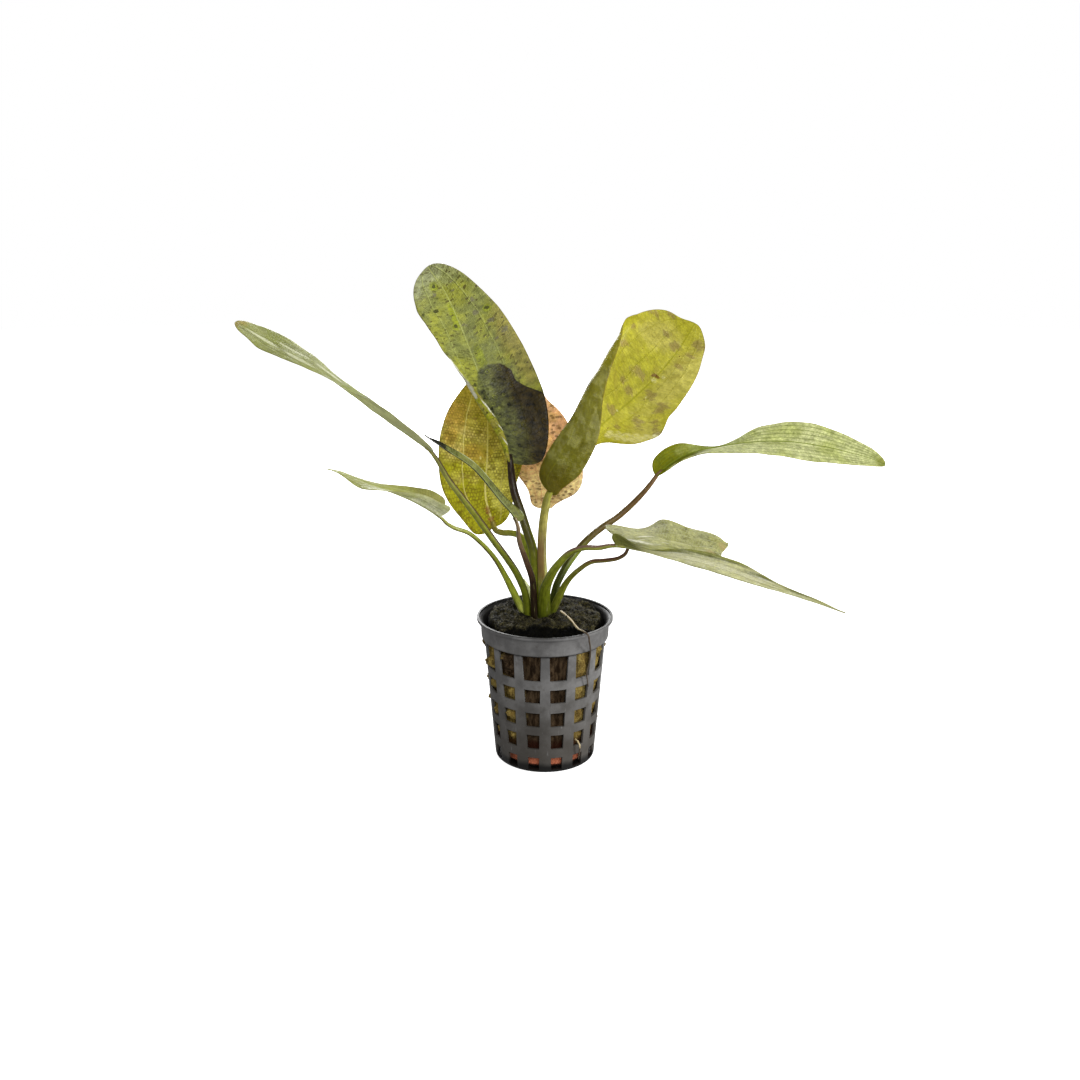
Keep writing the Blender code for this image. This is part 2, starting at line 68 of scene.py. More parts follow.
# What fills the pot.
DISC_LOW = 1.2
DISC_HIGH = 8.0
DISC_RADIUS = 17.6
PLUG_LOW = 8.3
PLUG_CLEARANCE = 1.0
PLUG_TOP = 60.4
PLUG_RIM_RADIUS = 23.6
PLUG_RIM_DROP = 1.2
PLUG_TILT = 0.05  # rise of the plug's top towards the back
PLUG_FRONT_DROP = 5.0
PLUG_FRONT_EDGE = 15.5  # how far forward the top reaches before it drops
FIBRES = 2800  # loose ones on the plug's top
MOSS_SWELL = 1.5  # how far moss comes out of a window
CROWN_SEAT = 58.4
CROWN_CENTRE = (-2.8, 1.8)
CROWN_RADIUS = 8.0
CROWN_TOP = 59.9

# Blades and stalks.
THINNEST_HALF = 0.5  # half width of a blade
MARGIN_THICKNESS = 0.1
THICKER_WITHIN = 0.26  # how much thicker a blade is away from its margin
MARGIN_TAPER = 1.2  # and how far in that is reached
RIB_HALF_WIDTH = (0.75, 0.3)  # at the stalk and at the tip
TIP_START = 0.82  # where the outline's waves at the tip set in, as a share of the midrib
WAVE_SHIFT = 0.37  # how far the left margin's ripple is ahead of the right's, in waves
STALK_SEAT = 2.4  # how far a stalk goes into the crown
STALK_ENDS = (0.012, 0.035)  # where its last points lie, as shares of the midrib
STALK_FLATNESS = (0.62, 0.8, 0.95, 1, 1)  # depth by width from the foot up
STALK_GROOVE = 0.12  # how deep its inner side is hollowed, as a share of the radius
STALK_STEPS, STALK_SIDES = 90, 24
MERGE = 0.0005  # points closer than this become one


@dataclass
class Leaf:
    """One leaf. Lists run from the stalk to the tip, at even steps of the way."""

    name: str
    stalk: list  # points up the stalk from the crown, mm
    stalk_radius: list  # across the stalk, mm
    sheath_facing: tuple  # the way that the flat inner side of the foot looks
    rib: list  # points along the midrib, mm
    upper: tuple  # the way that the blade's upper face looks
    left: list  # half width left of the midrib, mm
    right: list
    roll: tuple = (0,)  # turn about the midrib that lifts the right half, degrees
    fold_left: tuple = (8,)  # rise of a half out of the flat, at the midrib, degrees
    fold_right: tuple = (8,)
    curl_left: tuple = (0,)  # more bend on the way to the margin, degrees
    curl_right: tuple = (0,)
    crease_left: tuple = (0.5,)  # where that bend lies, as a share of the half width
    crease_right: tuple = (0.5,)
    crease_softness: float = 0.5
    lobes: tuple = (0, 0)  # how far the base reaches back past the stalk, left and right, mm
    ripple: tuple = (0, 0, 0)  # height of the wavy margin in mm, waves, start of the first


LEAVES = [
    Leaf(
        name="tall_left",
        stalk=[(-4, 4.4, 60.7), (-4, 6, 75), (-5, 8, 85.5), (-7.5, 10, 93), (-10, 12.5, 100.5),
               (-12.5, 15.5, 107.5), (-13.5, 17, 113), (-14, 18, 118.3)],
        stalk_radius=[1.6, 1.8, 1.8, 1.8, 1.75, 1.6], sheath_facing=(0, -1, 0.1),
        rib=[(-14, 18, 119.3), (-16.5, 25, 130), (-23.5, 32, 144), (-29, 36, 157.5),
             (-35.5, 39, 174), (-41, 39, 186), (-47.5, 36, 196)],
        upper=(0.35, -0.93, 0.1), left=[1, 5, 9, 12, 12, 13.5, 15, 11.5, 0.5],
        right=[1, 12, 17.5, 22, 21.5, 18, 11.8, 6.2, 0.5], fold_left=(15, 10, 6, 5),
        curl_left=(120, 150, 135, 30, 10, 5), crease_left=(0.55, 0.6, 0.65, 0.78, 0.6, 0.5),
        curl_right=(15, 15, 12, 8, 5), lobes=(4, 12),
    ),
    Leaf(
        name="back_left",
        stalk=[(-4.5, 7.5, 60.7), (-4.7, 10.5, 73.5), (-5.5, 12.5, 77), (-7, 15.5, 81.5),
               (-8.5, 19, 85.5), (-11, 22, 87.5), (-14.5, 25, 87.7), (-18, 27, 87.3), (-21, 29, 88)],
        stalk_radius=[1.5, 1.9, 1.7, 1.5, 1.4, 1.4], sheath_facing=(-0.3, -1, 0.6),
        rib=[(-21.5, 30, 89), (-25, 34, 100), (-24.5, 40, 117.5), (-24.5, 46, 130), (-25, 52, 141.5),
             (-26, 56, 151)],
        upper=(0, -0.93, 0.35), left=[1, 8.5, 12.5, 19.5, 21, 18.5, 13, 6.5, 0.5],
        right=[1, 7.5, 12, 14, 16.5, 15.5, 12, 6.5, 0.5], curl_left=(12,), curl_right=(12,),
        lobes=(11, 1),
    ),
    Leaf(
        name="tall_right",
        stalk=[(-0.3, 2.6, 60.7), (-1, 4.5, 75.5), (-1.3, 6.5, 85.5), (-1, 8.5, 93), (0, 10.5, 101),
               (1.5, 11.8, 107)],
        stalk_radius=[2.0, 2.1, 1.9, 1.8, 1.7], sheath_facing=(0, -1, 0.1),
        rib=[(2, 12, 108), (9, 15, 119), (22.5, 21, 133.5), (36, 28, 143.5), (49.5, 34, 156),
             (56, 38, 163.5), (62, 39, 173.5)],
        upper=(0, -0.9, 0.4), left=[1, 20, 29, 28.5, 26.5, 29.5, 26.5, 16.5, 0.5],
        right=[1, 6.5, 9, 8, 17, 15.5, 11.5, 6, 0.5], fold_left=(24, 8, 12, 20, -2, -1, -4, -8, -12),
        fold_right=(-93, -105, -75, -62, -5, 15, 7, 0, -5),
        curl_left=(210, 212, 196, 175, 185, 128, 76, 14, 0),
        crease_left=(0.32, 0.42, 0.4, 0.48, 0.72, 0.76, 0.8, 0.62, 0.5), crease_softness=0.25,
        lobes=(1.5, 0),
    ),
    Leaf(
        name="back_bronze",
        stalk=[(-0.8, 7.6, 60.7), (-1.5, 12, 71), (-1, 18, 78), (-0.5, 24, 85), (0, 29, 91.5),
               (0.8, 32.3, 95.2)],
        stalk_radius=[1.1, 1.1, 1.0], sheath_facing=(0, -1, 0.4),
        rib=[(1.2, 33, 96.3), (1, 41, 109), (-0.5, 48, 117.5), (0, 53, 129.5), (-2, 56, 140.5),
             (-3, 58, 148)],
        upper=(0, -0.95, 0.3), left=[1, 6.5, 8.5, 13.5, 14, 14, 9.5, 5, 0.5],
        right=[1, 4, 13.5, 16, 15.5, 9, 3, 0.5, 0.5], lobes=(2, 2), ripple=(1.2, 3, 0.1),
    ),
    Leaf(
        name="long_left",
        stalk=[(-7, -0.8, 60.7), (-8, -2, 70), (-11, -3, 78), (-14.5, -5, 84.5), (-20, -7, 93),
               (-25.5, -8, 101.5), (-31, -9, 109.5), (-36.5, -10, 117.5), (-42, -10, 127)],
        stalk_radius=[1.9, 1.9, 1.6, 1.45, 1.25, 1.05], sheath_facing=(0.5, 0.3, 1),
        rib=[(-42.8, -10, 128.5), (-46.5, -10, 131.5), (-61, -8, 141.5), (-75.5, -4, 151.5),
             (-90.5, 0, 161.5), (-99.5, 4, 165.5), (-106, 7, 168.5), (-118.5, 9, 176)],
        upper=(0.2, -0.23, 0.95), left=[1, 3, 4.5, 6.5, 3, 6.5, 8.5, 5.5, 0.5],
        right=[1, 3.5, 5.5, 8.5, 6.5, 9, 9.5, 5, 0.5], fold_left=(60, 60, 60, 40, 0, 0, 0, 0),
        fold_right=(-10, -10, -10, 0, 0),
    ),
    Leaf(
        name="narrow_front",
        stalk=[(-4.3, -4.4, 60.7), (-4.5, -5, 69), (-5, -7, 77), (-7.5, -10.5, 86), (-10, -14, 95),
               (-10.7, -16, 102)],
        stalk_radius=[1.4, 1.35, 1.2, 0.95], sheath_facing=(0, 1, 0.5),
        rib=[(-11, -16, 103), (-13, -16.5, 106.5), (-17, -17.5, 111.5), (-21, -18.5, 117),
             (-27.5, -20.5, 125), (-35.5, -22.5, 131), (-44, -25, 137.5)],
        upper=(0.3, 0.1, 0.9), left=[1, 1.8, 1.4, 1.3, 1.5, 2.4, 2.6, 1.2, 0.5],
        right=[1, 5.6, 3.5, 3, 2.9, 2.6, 1.8, 0.5, 0.5], fold_left=(0,), fold_right=(50,),
        lobes=(1, 4),
    ),
    Leaf(
        name="low_left",
        stalk=[(-9, 2.3, 60.7), (-11, 1.5, 65.5), (-13.5, 0, 71.5), (-16, -2.5, 77.5),
               (-20, -6.5, 86), (-24.5, -10, 92.5), (-29.5, -14, 98), (-34.5, -18, 101),
               (-37, -21, 103.5), (-38.3, -24, 106)],
        stalk_radius=[2.3, 2.0, 1.35, 1.05, 0.9, 0.8], sheath_facing=(0.7, 0.3, 1),
        rib=[(-39, -25, 107), (-44.5, -27, 111.5), (-54, -30, 117), (-61.5, -32, 120),
             (-69, -34, 123.5), (-74.5, -36, 126.5), (-77.5, -37, 127.5)],
        upper=(0.3, 0, 0.95), left=[1, 6.5, 5.5, 5, 4.5, 5.5, 2, 0.5, 0.5],
        right=[1, 7, 7.5, 5.5, 3, 2, 1.5, 0.5, 0.5], roll=(10,), fold_left=(70, 70, 65, 20, -5, -5, 0),
        fold_right=(40, 40, 20, 5, 0), lobes=(2, 1.5),
    ),
    Leaf(
        name="long_right",
        stalk=[(2.6, 5, 60.7), (4.5, 6, 70), (7.5, 8, 76), (11.5, 10.5, 81.5), (17, 13, 87.5),
               (23.5, 15.5, 92.5), (30, 17.5, 96.5), (36.5, 19, 102), (42.5, 20, 108.5),
               (45.2, 20.8, 112)],
        stalk_radius=[1.8, 1.85, 1.7, 1.5, 1.35, 1.15], sheath_facing=(-0.5, -0.2, 1),
        rib=[(45.5, 21, 113), (56, 24, 120), (65, 27, 122.5), (75.5, 29, 124), (89, 30, 125.5),
             (101.5, 30, 125.5), (111, 29, 124.5), (126, 27, 121.5), (134, 25, 119.5),
             (140.5, 24, 117)],
        upper=(-0.1, -0.3, 0.95), left=[1, 6, 6, 1, 10, 12.5, 8, 4.5, 0.5],
        right=[1, 3.5, 6, 11, 14, 13.5, 9, 4, 0.5], fold_left=(60, 60, 45, 10, 13, 18, 20, 20, 15),
        fold_right=(18, 18, 18, 10, 0, -3, -5, -5),
    ),
    Leaf(
        name="torn_right",
        stalk=[(2.8, 0.6, 60.8), (6, -2, 69.5), (9, -5, 76), (13.5, -9, 82), (18, -12.5, 86),
               (23.5, -15.5, 87.5), (28, -17.5, 89), (30.3, -19, 91), (31.5, -20, 94)],
        stalk_radius=[2.3, 2.1, 1.4, 1.05, 0.9, 0.8], sheath_facing=(-0.6, 0.3, 1),
        rib=[(32, -20, 95.5), (38, -18, 96.5), (48.5, -16, 95), (55.5, -14.5, 93), (63.5, -14, 92),
             (70.5, -15, 89.5)],
        upper=(0.1, -0.1, 1), left=[1, 14.5, 20, 17.5, 21, 16, 14, 11.5, 15.5],
        right=[1, 5, 8, 12, 11.5, 10, 9.5, 7, 5], fold_left=(5, 5, -8, 5, 5, 3, 0),
        fold_right=(14, 6, -2, -2, 2, 6), lobes=(9.5, 2),
    ),
    Leaf(
        name="low_right",
        stalk=[(-0.4, -2.6, 60.8), (0, -5.5, 72.5), (2, -9, 79), (5.5, -14, 86), (10, -19.5, 92),
               (15, -24.5, 95), (20, -28, 96), (24.4, -30.5, 97.5)],
        stalk_radius=[2.9, 2.6, 2.0, 1.5, 1.1, 1.0], sheath_facing=(-0.4, 0.5, 1),
        rib=[(26, -32, 98), (36.5, -34, 96.5), (44, -37, 95), (57, -39, 91.5), (76.5, -40, 85.5),
             (88.5, -40, 82), (99.5, -39, 78), (110, -37, 73.5)],
        upper=(0.1, -0.3, 1), left=[1, 7.5, 7.5, 9, 6, 3, 1.5, 0.5, 0.5],
        right=[1, 6, 4.5, 7.5, 7.5, 3, 1.5, 0.5, 0.5], fold_left=(-6,),
        fold_right=(80, 75, 40, 75, 80, 80, 80, 80, 80), lobes=(6, 6.5),
    ),
]

# Up the stub of an old sheath, mm.
STUB = [(-6, 2.4, 58.4), (-6.2, 2.5, 60.8), (-7.3, 3, 69), (-8.5, 3, 74.5)]
STUB_WIDTHS = [1.4, 1.4, 1.9, 0.1]

# Roots: points along each in mm, with its radius.
ROOTS = {
    "root_over_rim": (
        [(6.5, 1.1, 61), (8.3, -3.2, 61), (10.7, -11, 61), (12.8, -18.5, 60.7), (14.8, -22.7, 61),
         (16.4, -24.2, 60.3), (17, -23.4, 57), (17.6, -20.6, 51), (16.3, -19.4, 42), (17, -18, 36.5)],
        0.45,
    ),
    "root_low_window": (
        [(12.1, -15.8, 12.6), (13, -17, 12.4), (13.9, -18, 10.8), (13.8, -17.6, 8), (13.4, -17, 4.5)],
        0.35,
    ),
}


@dataclass
class Look:
    """How one blade looks. Lengths in mm; colours on the 0 to 255 scale.

    A patch is (along the midrib, left of it, half its length, half its width)."""

    skin: tuple  # main colour of the upper side
    second: tuple  # cloudy second colour
    vein: tuple
    under: tuple  # main colour of the underside
    glow: tuple  # colour of light that comes through
    under_second: tuple = None  # its cloudy second colour
    under_sharp: bool = False  # the two meet at a clear edge
    foot: tuple = None  # colour near the stalk, and how far it reaches
    foot_reach: float = 0.25
    tip: tuple = None
    tip_start: float = 0.75
    cloud: float = 12.0  # size of the cloudy parts
    margin: tuple = (120, 110, 50)
    margin_width: float = 0.5
    midrib: float = 0.8  # strength of the midrib's colour
    laterals: tuple = (0.32, 0.64, 0.9)  # where the side veins run, as shares of the half width
    lateral: float = 0.5  # strength of their colour
    net: float = 0.3  # strength of the fine veins
    cell: tuple = (2.0, 1.1)  # blocks between the fine veins, across and along
    lean: float = 0.4  # how far the fine veins lean to the tip
    line: float = 0.25  # width of the fine veins
    line_colour: tuple = None  # theirs, if it is not the side veins'
    mottle: float = 0.35  # how much the blocks differ in tone
    weave: float = 1.0  # strength of the short streaks and lumps in the tone
    streaks: float = 0.0  # strength of the long streaks beside the veins
    dapple: float = 0.0  # strength of the soft blotches that lie all over
    spots: float = 0.0  # share of the blocks that are dark
    spot: tuple = (70, 62, 28)
    specks: float = 0.0
    speck: tuple = (60, 45, 20)
    speck_size: float = 0.9
    blotch: tuple = None
    blotches: tuple = ()
    dot: tuple = (60, 48, 22)
    dots: tuple = ()
    # pale lines, and painted highlights and glints
    pale: tuple = None
    pale_lines_and_highlights: tuple = ()
    fanned: float = 0.3  # how much green streaks break them up
    bright: tuple = None  # fresh patches; on back_left, painted light
    fresh_and_lit_patches: tuple = ()
    warm: tuple = None  # soft tint over large parts; on torn_right, painted shade along a fold
    tints_and_fold_shade: tuple = ()
    shade: tuple = None  # share of each colour that is left in a patch of painted shade
    shade_near: tuple = None  # and on its side towards the midrib, if that differs
    shades: tuple = ()
    outline: tuple = ()  # corners of a painted cast shadow
    pitted: float = 1.0  # strength of its lumps, pits and painted highlight rings
    thin: float = 0.5  # share of the light that comes through
    gloss: float = 0.22
    roughness: float = 0.42
    columns: int = 44
    steps: int = 150
    rib_thickness: float = 0.5  # how far the midrib stands out below
    puckers: float = 0.12
    waves: float = 0.25  # unevenness of the margin
    dents: tuple = ()  # in the margin: along, side (1 left, -1 right), depth and half length
    tip_waves: tuple = ()  # in the outline at the tip: mm left of the midrib, depth, half width


LOOKS = {
    "tall_left": Look(
        skin=(128, 132, 71), second=(145, 147, 56), vein=(172, 178, 100), under=(182, 186, 36),
        glow=(150, 155, 30), under_second=(166, 156, 66), tip=(148, 152, 112), tip_start=0.86, cloud=9,
        laterals=(0.52,), lateral=0.55, line=0.22, mottle=0.5, weave=1.15, spots=0.1,
        spot=(80, 74, 32), specks=0.25, blotch=(104, 100, 76),
        blotches=((64, -8, 1, 1.5), (61, -2, 1, 1.5), (78.5, -4.5, 0.5, 1), (75.5, -3, 0.5, 1),
                  (59, -12.5, 1, 1.5), (52, -12.5, 0.5, 1.5), (78, 4.5, 1, 1), (69, -9, 1, 1),
                  (54, -16.5, 1.5, 2)),
        dot=(60, 62, 20),
        dots=((81, 3, 1, 1), (64, -13, 1, 1.5), (62, 2, 1, 1), (38, -1.5, 0.5, 0.5),
              (36.5, 3.5, 1, 1), (49.5, 3.5, 0.5, 1), (71, 7.5, 1, 1.5), (72, 13.5, 1, 1),
              (64.5, -4, 1, 0.5), (24, -8, 0.9, 0.8), (27, -3, 0.8, 0.6), (19, -5, 0.9, 1.1),
              (14, -11, 0.8, 0.7)),
        pale=(240, 238, 212),
        # the first pale marks paint a highlight along the crease of the curled margin; the last four
        # are a thin pale line
        pale_lines_and_highlights=((47.5, 11.7, 2.5, 0.9), (44.5, 11, 2.5, 1.8), (41, 10.3, 2.5, 2.5),
               (38, 9.8, 2.5, 2.8), (35, 9.9, 2.5, 2.3), (32, 10, 2.5, 1.5), (26, 11.6, 4, 0.45),
               (21, 11, 4, 0.35), (14, 9.3, 4, 0.35), (7.5, 6.9, 4, 0.35)),
        fanned=0.15, bright=(146, 156, 20),
        fresh_and_lit_patches=((81, 3, 2.5, 2.5), (64, -13, 2, 2.5), (62, 2, 2, 2), (46, -3, 8, 2.5), (66, 1, 7, 2)),
        # shade, shade_near and outline paint the shadow that tall_right casts on this blade
        warm=(156, 142, 72), tints_and_fold_shade=((52, -18, 16, 7), (40, -20, 12, 6)), shade=(0.112, 0.069, 0.024),
        shade_near=(0.4, 0.41, 0.42),
        outline=((41.6, 0.6), (43.6, -3.4), (41.8, -10), (38.2, -13.3), (33.6, -13.4), (30.2, -16.3),
                 (23.5, -22.5), (10, -22), (-2, -16), (-2, 7), (9.9, 9), (20, 9), (26, 7), (33, 4.5)),
        thin=0.25,
    ),
    "back_left": Look(
        skin=(196, 180, 112), second=(200, 192, 100), vein=(224, 216, 136), under=(160, 150, 60),
        glow=(220, 212, 78), foot=(146, 150, 30), foot_reach=0.62, tip=(160, 132, 66), tip_start=0.5,
        cloud=7, midrib=1.0, laterals=(0.5,), lateral=0.75, net=0.8, cell=(1.3, 1.3), lean=0.1,
        line=0.3, line_colour=(92, 64, 18), mottle=0.85, weave=1.7, spots=0.03, spot=(110, 85, 30),
        blotch=(136, 96, 42), blotches=((2.5, 0.5, 3, 1.5), (7.5, 0.5, 2.5, 1.2), (47, 5.5, 1, 1)),
        dots=((32.5, 0.5, 0.8, 0.6),), pale=(226, 218, 140),
        # bright and its patches paint light on the right half, next to tall_left's stalk
        pale_lines_and_highlights=((35, 3.5, 3.5, 0.35), (30, 3, 1, 0.7), (26.5, -1, 1, 0.7)), bright=(255, 252, 140),
        fresh_and_lit_patches=((20, -7, 20, 8), (36, -9, 12, 6)), warm=(170, 126, 66),
        tints_and_fold_shade=((48.5, 14, 9, 7), (39, 16, 6, 4), (32, 5, 5, 9)), gloss=0.12, roughness=0.5,
    ),
    "tall_right": Look(
        skin=(190, 186, 72), second=(184, 182, 60), vein=(146, 148, 34), under=(80, 84, 36),
        glow=(222, 216, 98), under_second=(124, 126, 78), under_sharp=True, foot=(84, 78, 20),
        foot_reach=0.16, cloud=14, margin=(120, 84, 44), midrib=0.95, laterals=(0.3, 0.6),
        lateral=0.22, net=0.15, cell=(2.4, 1.4), mottle=0.25, dapple=0.5, blotch=(142, 124, 62),
        blotches=((88.5, 18, 1.2, 4), (92, 10.5, 1.2, 3), (78, 21.5, 2, 1.5), (84.5, 7.5, 1.5, 2),
                  (81.5, 2, 2, 2.5), (87, -5.5, 2, 2.5), (68, 19.5, 2.5, 2), (81.5, -5.5, 1, 2.5),
                  (75, -4.5, 1.2, 2.5), (62.5, 6.5, 2.4, 4.5), (55, 9, 2, 2), (54, 3.5, 1.8, 3.2),
                  (58.5, -4.5, 2, 3), (42.5, 2, 1.8, 3), (57, -11.5, 3, 2.5), (47.5, -8, 1.8, 3.4),
                  (40, -4.5, 1.2, 2), (51, -14, 2, 2), (49.5, -17, 2, 2)),
        dot=(104, 66, 22),
        dots=((55.5, -3.5, 0.45, 0.45), (43, 1, 0.45, 0.45), (49.5, -6.5, 0.45, 0.45),
              (36.5, -3, 0.6, 0.45), (55, 5, 0.5, 0.5), (66.2, -0.1, 0.8, 2.2),
              (65.3, 1.3, 0.9, 0.7), (72, 12, 0.4, 0.4), (79, -2, 0.5, 0.4)),
        pale=(230, 226, 170),
        pale_lines_and_highlights=((35.5, -6, 2.6, 2.2), (38, -8.3, 2.6, 2.4), (40.5, -10.6, 2.6, 2.4),
               (43, -13, 2.6, 2.2), (45.5, -15.2, 2.6, 1.8), (48.5, -16.6, 2.4, 1.2),
               (64.2, -0.6, 1.3, 1.6), (67.6, -2.6, 1, 1), (56.6, -3.5, 0.6, 0.6),
               (43.8, 0.4, 0.6, 0.6)),
        fanned=0.8, warm=(206, 198, 120), tints_and_fold_shade=((70, -8, 22, 9), (82, 10, 9, 12), (46, -14, 8, 7)),
        columns=72, steps=190, rib_thickness=0.25, waves=0.35,
        dents=((50, -1, -1.2, 3), (57, -1, 0.8, 3), (88, -1, -0.8, 3)),
        tip_waves=((18, -1.4, 9), (6.5, 0.9, 4.5)),
    ),
    "back_bronze": Look(
        skin=(226, 186, 156), second=(226, 196, 128), vein=(226, 190, 150), under=(190, 150, 105),
        glow=(250, 215, 165), foot=(240, 243, 178), foot_reach=0.45, cloud=5, margin=(112, 62, 40),
        net=0.35, cell=(1.4, 1.0), line=0.3, mottle=0.8, weave=2.4, spots=0.05, spot=(120, 74, 36),
        specks=1.7, speck=(76, 46, 28), speck_size=1.35, gloss=0.06, roughness=0.6,
    ),
    "long_left": Look(
        skin=(142, 146, 96), second=(128, 136, 66), vein=(128, 132, 62), under=(222, 230, 190),
        glow=(222, 222, 178), under_second=(190, 202, 150), foot=(122, 130, 124), foot_reach=0.45,
        tip=(152, 128, 72), tip_start=0.93, midrib=0.7, laterals=(0.45,), lateral=0.35, net=0.12,
        mottle=0.14, weave=0.6, streaks=0.9, spots=0.012, spot=(104, 106, 48), pale=(226, 228, 194),
        pale_lines_and_highlights=((79.5, 1.2, 9, 1.2), (62, 1.5, 8, 1.2), (50.5, -3, 8, 1.2), (68, -3, 10, 1)),
        gloss=0.08, roughness=0.55, columns=30,
    ),
    "narrow_front": Look(
        skin=(114, 116, 62), second=(92, 96, 44), vein=(150, 162, 112), under=(98, 98, 52),
        glow=(120, 126, 40), under_second=(130, 136, 100), foot=(92, 94, 40), foot_reach=0.3,
        tip=(16, 16, 9), tip_start=0.66, margin=(46, 46, 22), margin_width=0.7, midrib=0.4,
        laterals=(), net=0.2, mottle=0.4, weave=1.2, streaks=0.6, dot=(16, 16, 9),
        dots=((43.5, 0, 5, 3.5), (39.5, 2, 2.5, 1.5)), pale=(176, 186, 140),
        pale_lines_and_highlights=((6, -5.2, 5, 0.6), (14, -3.4, 5, 0.5), (22, -3, 6, 0.45), (31, -2.7, 6, 0.4)),
        thin=0.12, gloss=0.15, columns=18, steps=130, rib_thickness=0.2, puckers=0.05,
    ),
    "low_left": Look(
        skin=(146, 148, 98), second=(130, 134, 78), vein=(196, 202, 150), under=(246, 248, 212),
        glow=(222, 222, 160), under_second=(224, 230, 176), tip=(120, 125, 80), tip_start=0.8,
        laterals=(0.5,), net=0.4, mottle=0.25, weave=0.6, streaks=0.5, spots=0.02, warm=(112, 106, 40),
        tints_and_fold_shade=((7, -6, 11, 5),), shade=(0.68, 0.66, 0.46), shades=((6, -6, 10, 4),), pitted=0.3,
        gloss=0.12, columns=28, steps=130,
    ),
    "long_right": Look(
        skin=(222, 225, 162), second=(202, 208, 132), vein=(122, 136, 48), under=(150, 160, 84),
        glow=(190, 200, 70), foot=(118, 116, 6), foot_reach=0.3, tip=(164, 160, 92), tip_start=0.93,
        midrib=1.0, laterals=(0.2, 0.4, 0.6, 0.8), lateral=0.55, net=0.34, cell=(1.5, 1.2),
        streaks=0.3, pale=(206, 208, 140),
        pale_lines_and_highlights=((7, -3.4, 3.5, 1), (14, -5, 4, 1.2), (21, -5.4, 4, 1.4)), thin=0.3, gloss=0.12,
        roughness=0.5, columns=36, steps=180,
    ),
    "torn_right": Look(
        skin=(166, 166, 112), second=(150, 150, 88), vein=(196, 196, 150), under=(160, 165, 115),
        glow=(190, 190, 90), cloud=8, laterals=(0.4, 0.75), net=0.25, mottle=0.3, weave=1.3,
        streaks=0.3, spots=0.01, spot=(120, 120, 60), specks=0.25, speck=(110, 105, 60),
        blotch=(160, 144, 92), blotches=((38.5, 5, 3, 4), (32, -8.5, 4, 6)), dot=(110, 108, 56),
        dots=((19.5, 18.5, 0.9, 0.7),), pale=(208, 208, 176),
        # the first three pale marks are painted glints
        pale_lines_and_highlights=((10, -5.8, 2.5, 0.5), (13.5, -3.2, 2.5, 0.5), (29, 14.4, 3, 0.5), (8, 3, 4, 1.2)),
        # the tints and the shade rows paint shade along the fold next to low_right
        warm=(104, 104, 44), tints_and_fold_shade=((20, -9.5, 7, 1.8), (27, -8.5, 7, 2.2), (34, -6, 5, 2.4)),
        shade=(0.42, 0.42, 0.26), shades=((22, -9.3, 9, 2), (31, -7.5, 7, 2.4)), pitted=0.3, thin=0.25,
        gloss=0.12, roughness=0.55, tip_waves=((-5, 3.2, 11),),
    ),
    "low_right": Look(
        skin=(162, 162, 90), second=(134, 146, 60), vein=(205, 210, 170), under=(244, 244, 214),
        glow=(240, 238, 190), under_second=(228, 228, 180), foot=(88, 88, 30), foot_reach=0.2,
        margin=(104, 106, 50), margin_width=1.5, laterals=(0.3, 0.6, 0.88), net=0.12, mottle=0.15,
        weave=0.6, streaks=0.6, pale=(248, 248, 230),
        # the pale marks paint highlights along the middle
        pale_lines_and_highlights=((24, -3, 9, 2), (38, -3.2, 9, 2.2), (51, -2.6, 7, 1.6), (10, 6.5, 5, 1.5)), fanned=0.6,
        # shade and its rows paint shade under the base lobe and along the upper edge below torn_right
        shade=(0.64, 0.66, 0.44),
        shades=((3, -3.5, 7, 4.5), (2, 3, 5, 3), (19, -5.8, 10, 1.5), (31, -7.2, 8, 1.5),
                (41, -7.6, 9, 1.4), (56, -4.4, 10, 1.1), (71, -1.9, 9, 0.8)),
        pitted=0.2, thin=0.45, gloss=0.15, columns=30, steps=170,
    ),
}


@dataclass
class StalkLook:
    """How one stalk looks: colours from the foot to the top, and of the streak on one side."""

    colours: list  # (share of the way up, colour)
    streak: tuple = None
    streak_side: tuple = (1, 0)  # right and towards the facing side
    streak_from: float = 0.2
    streak_to: float = 1.0


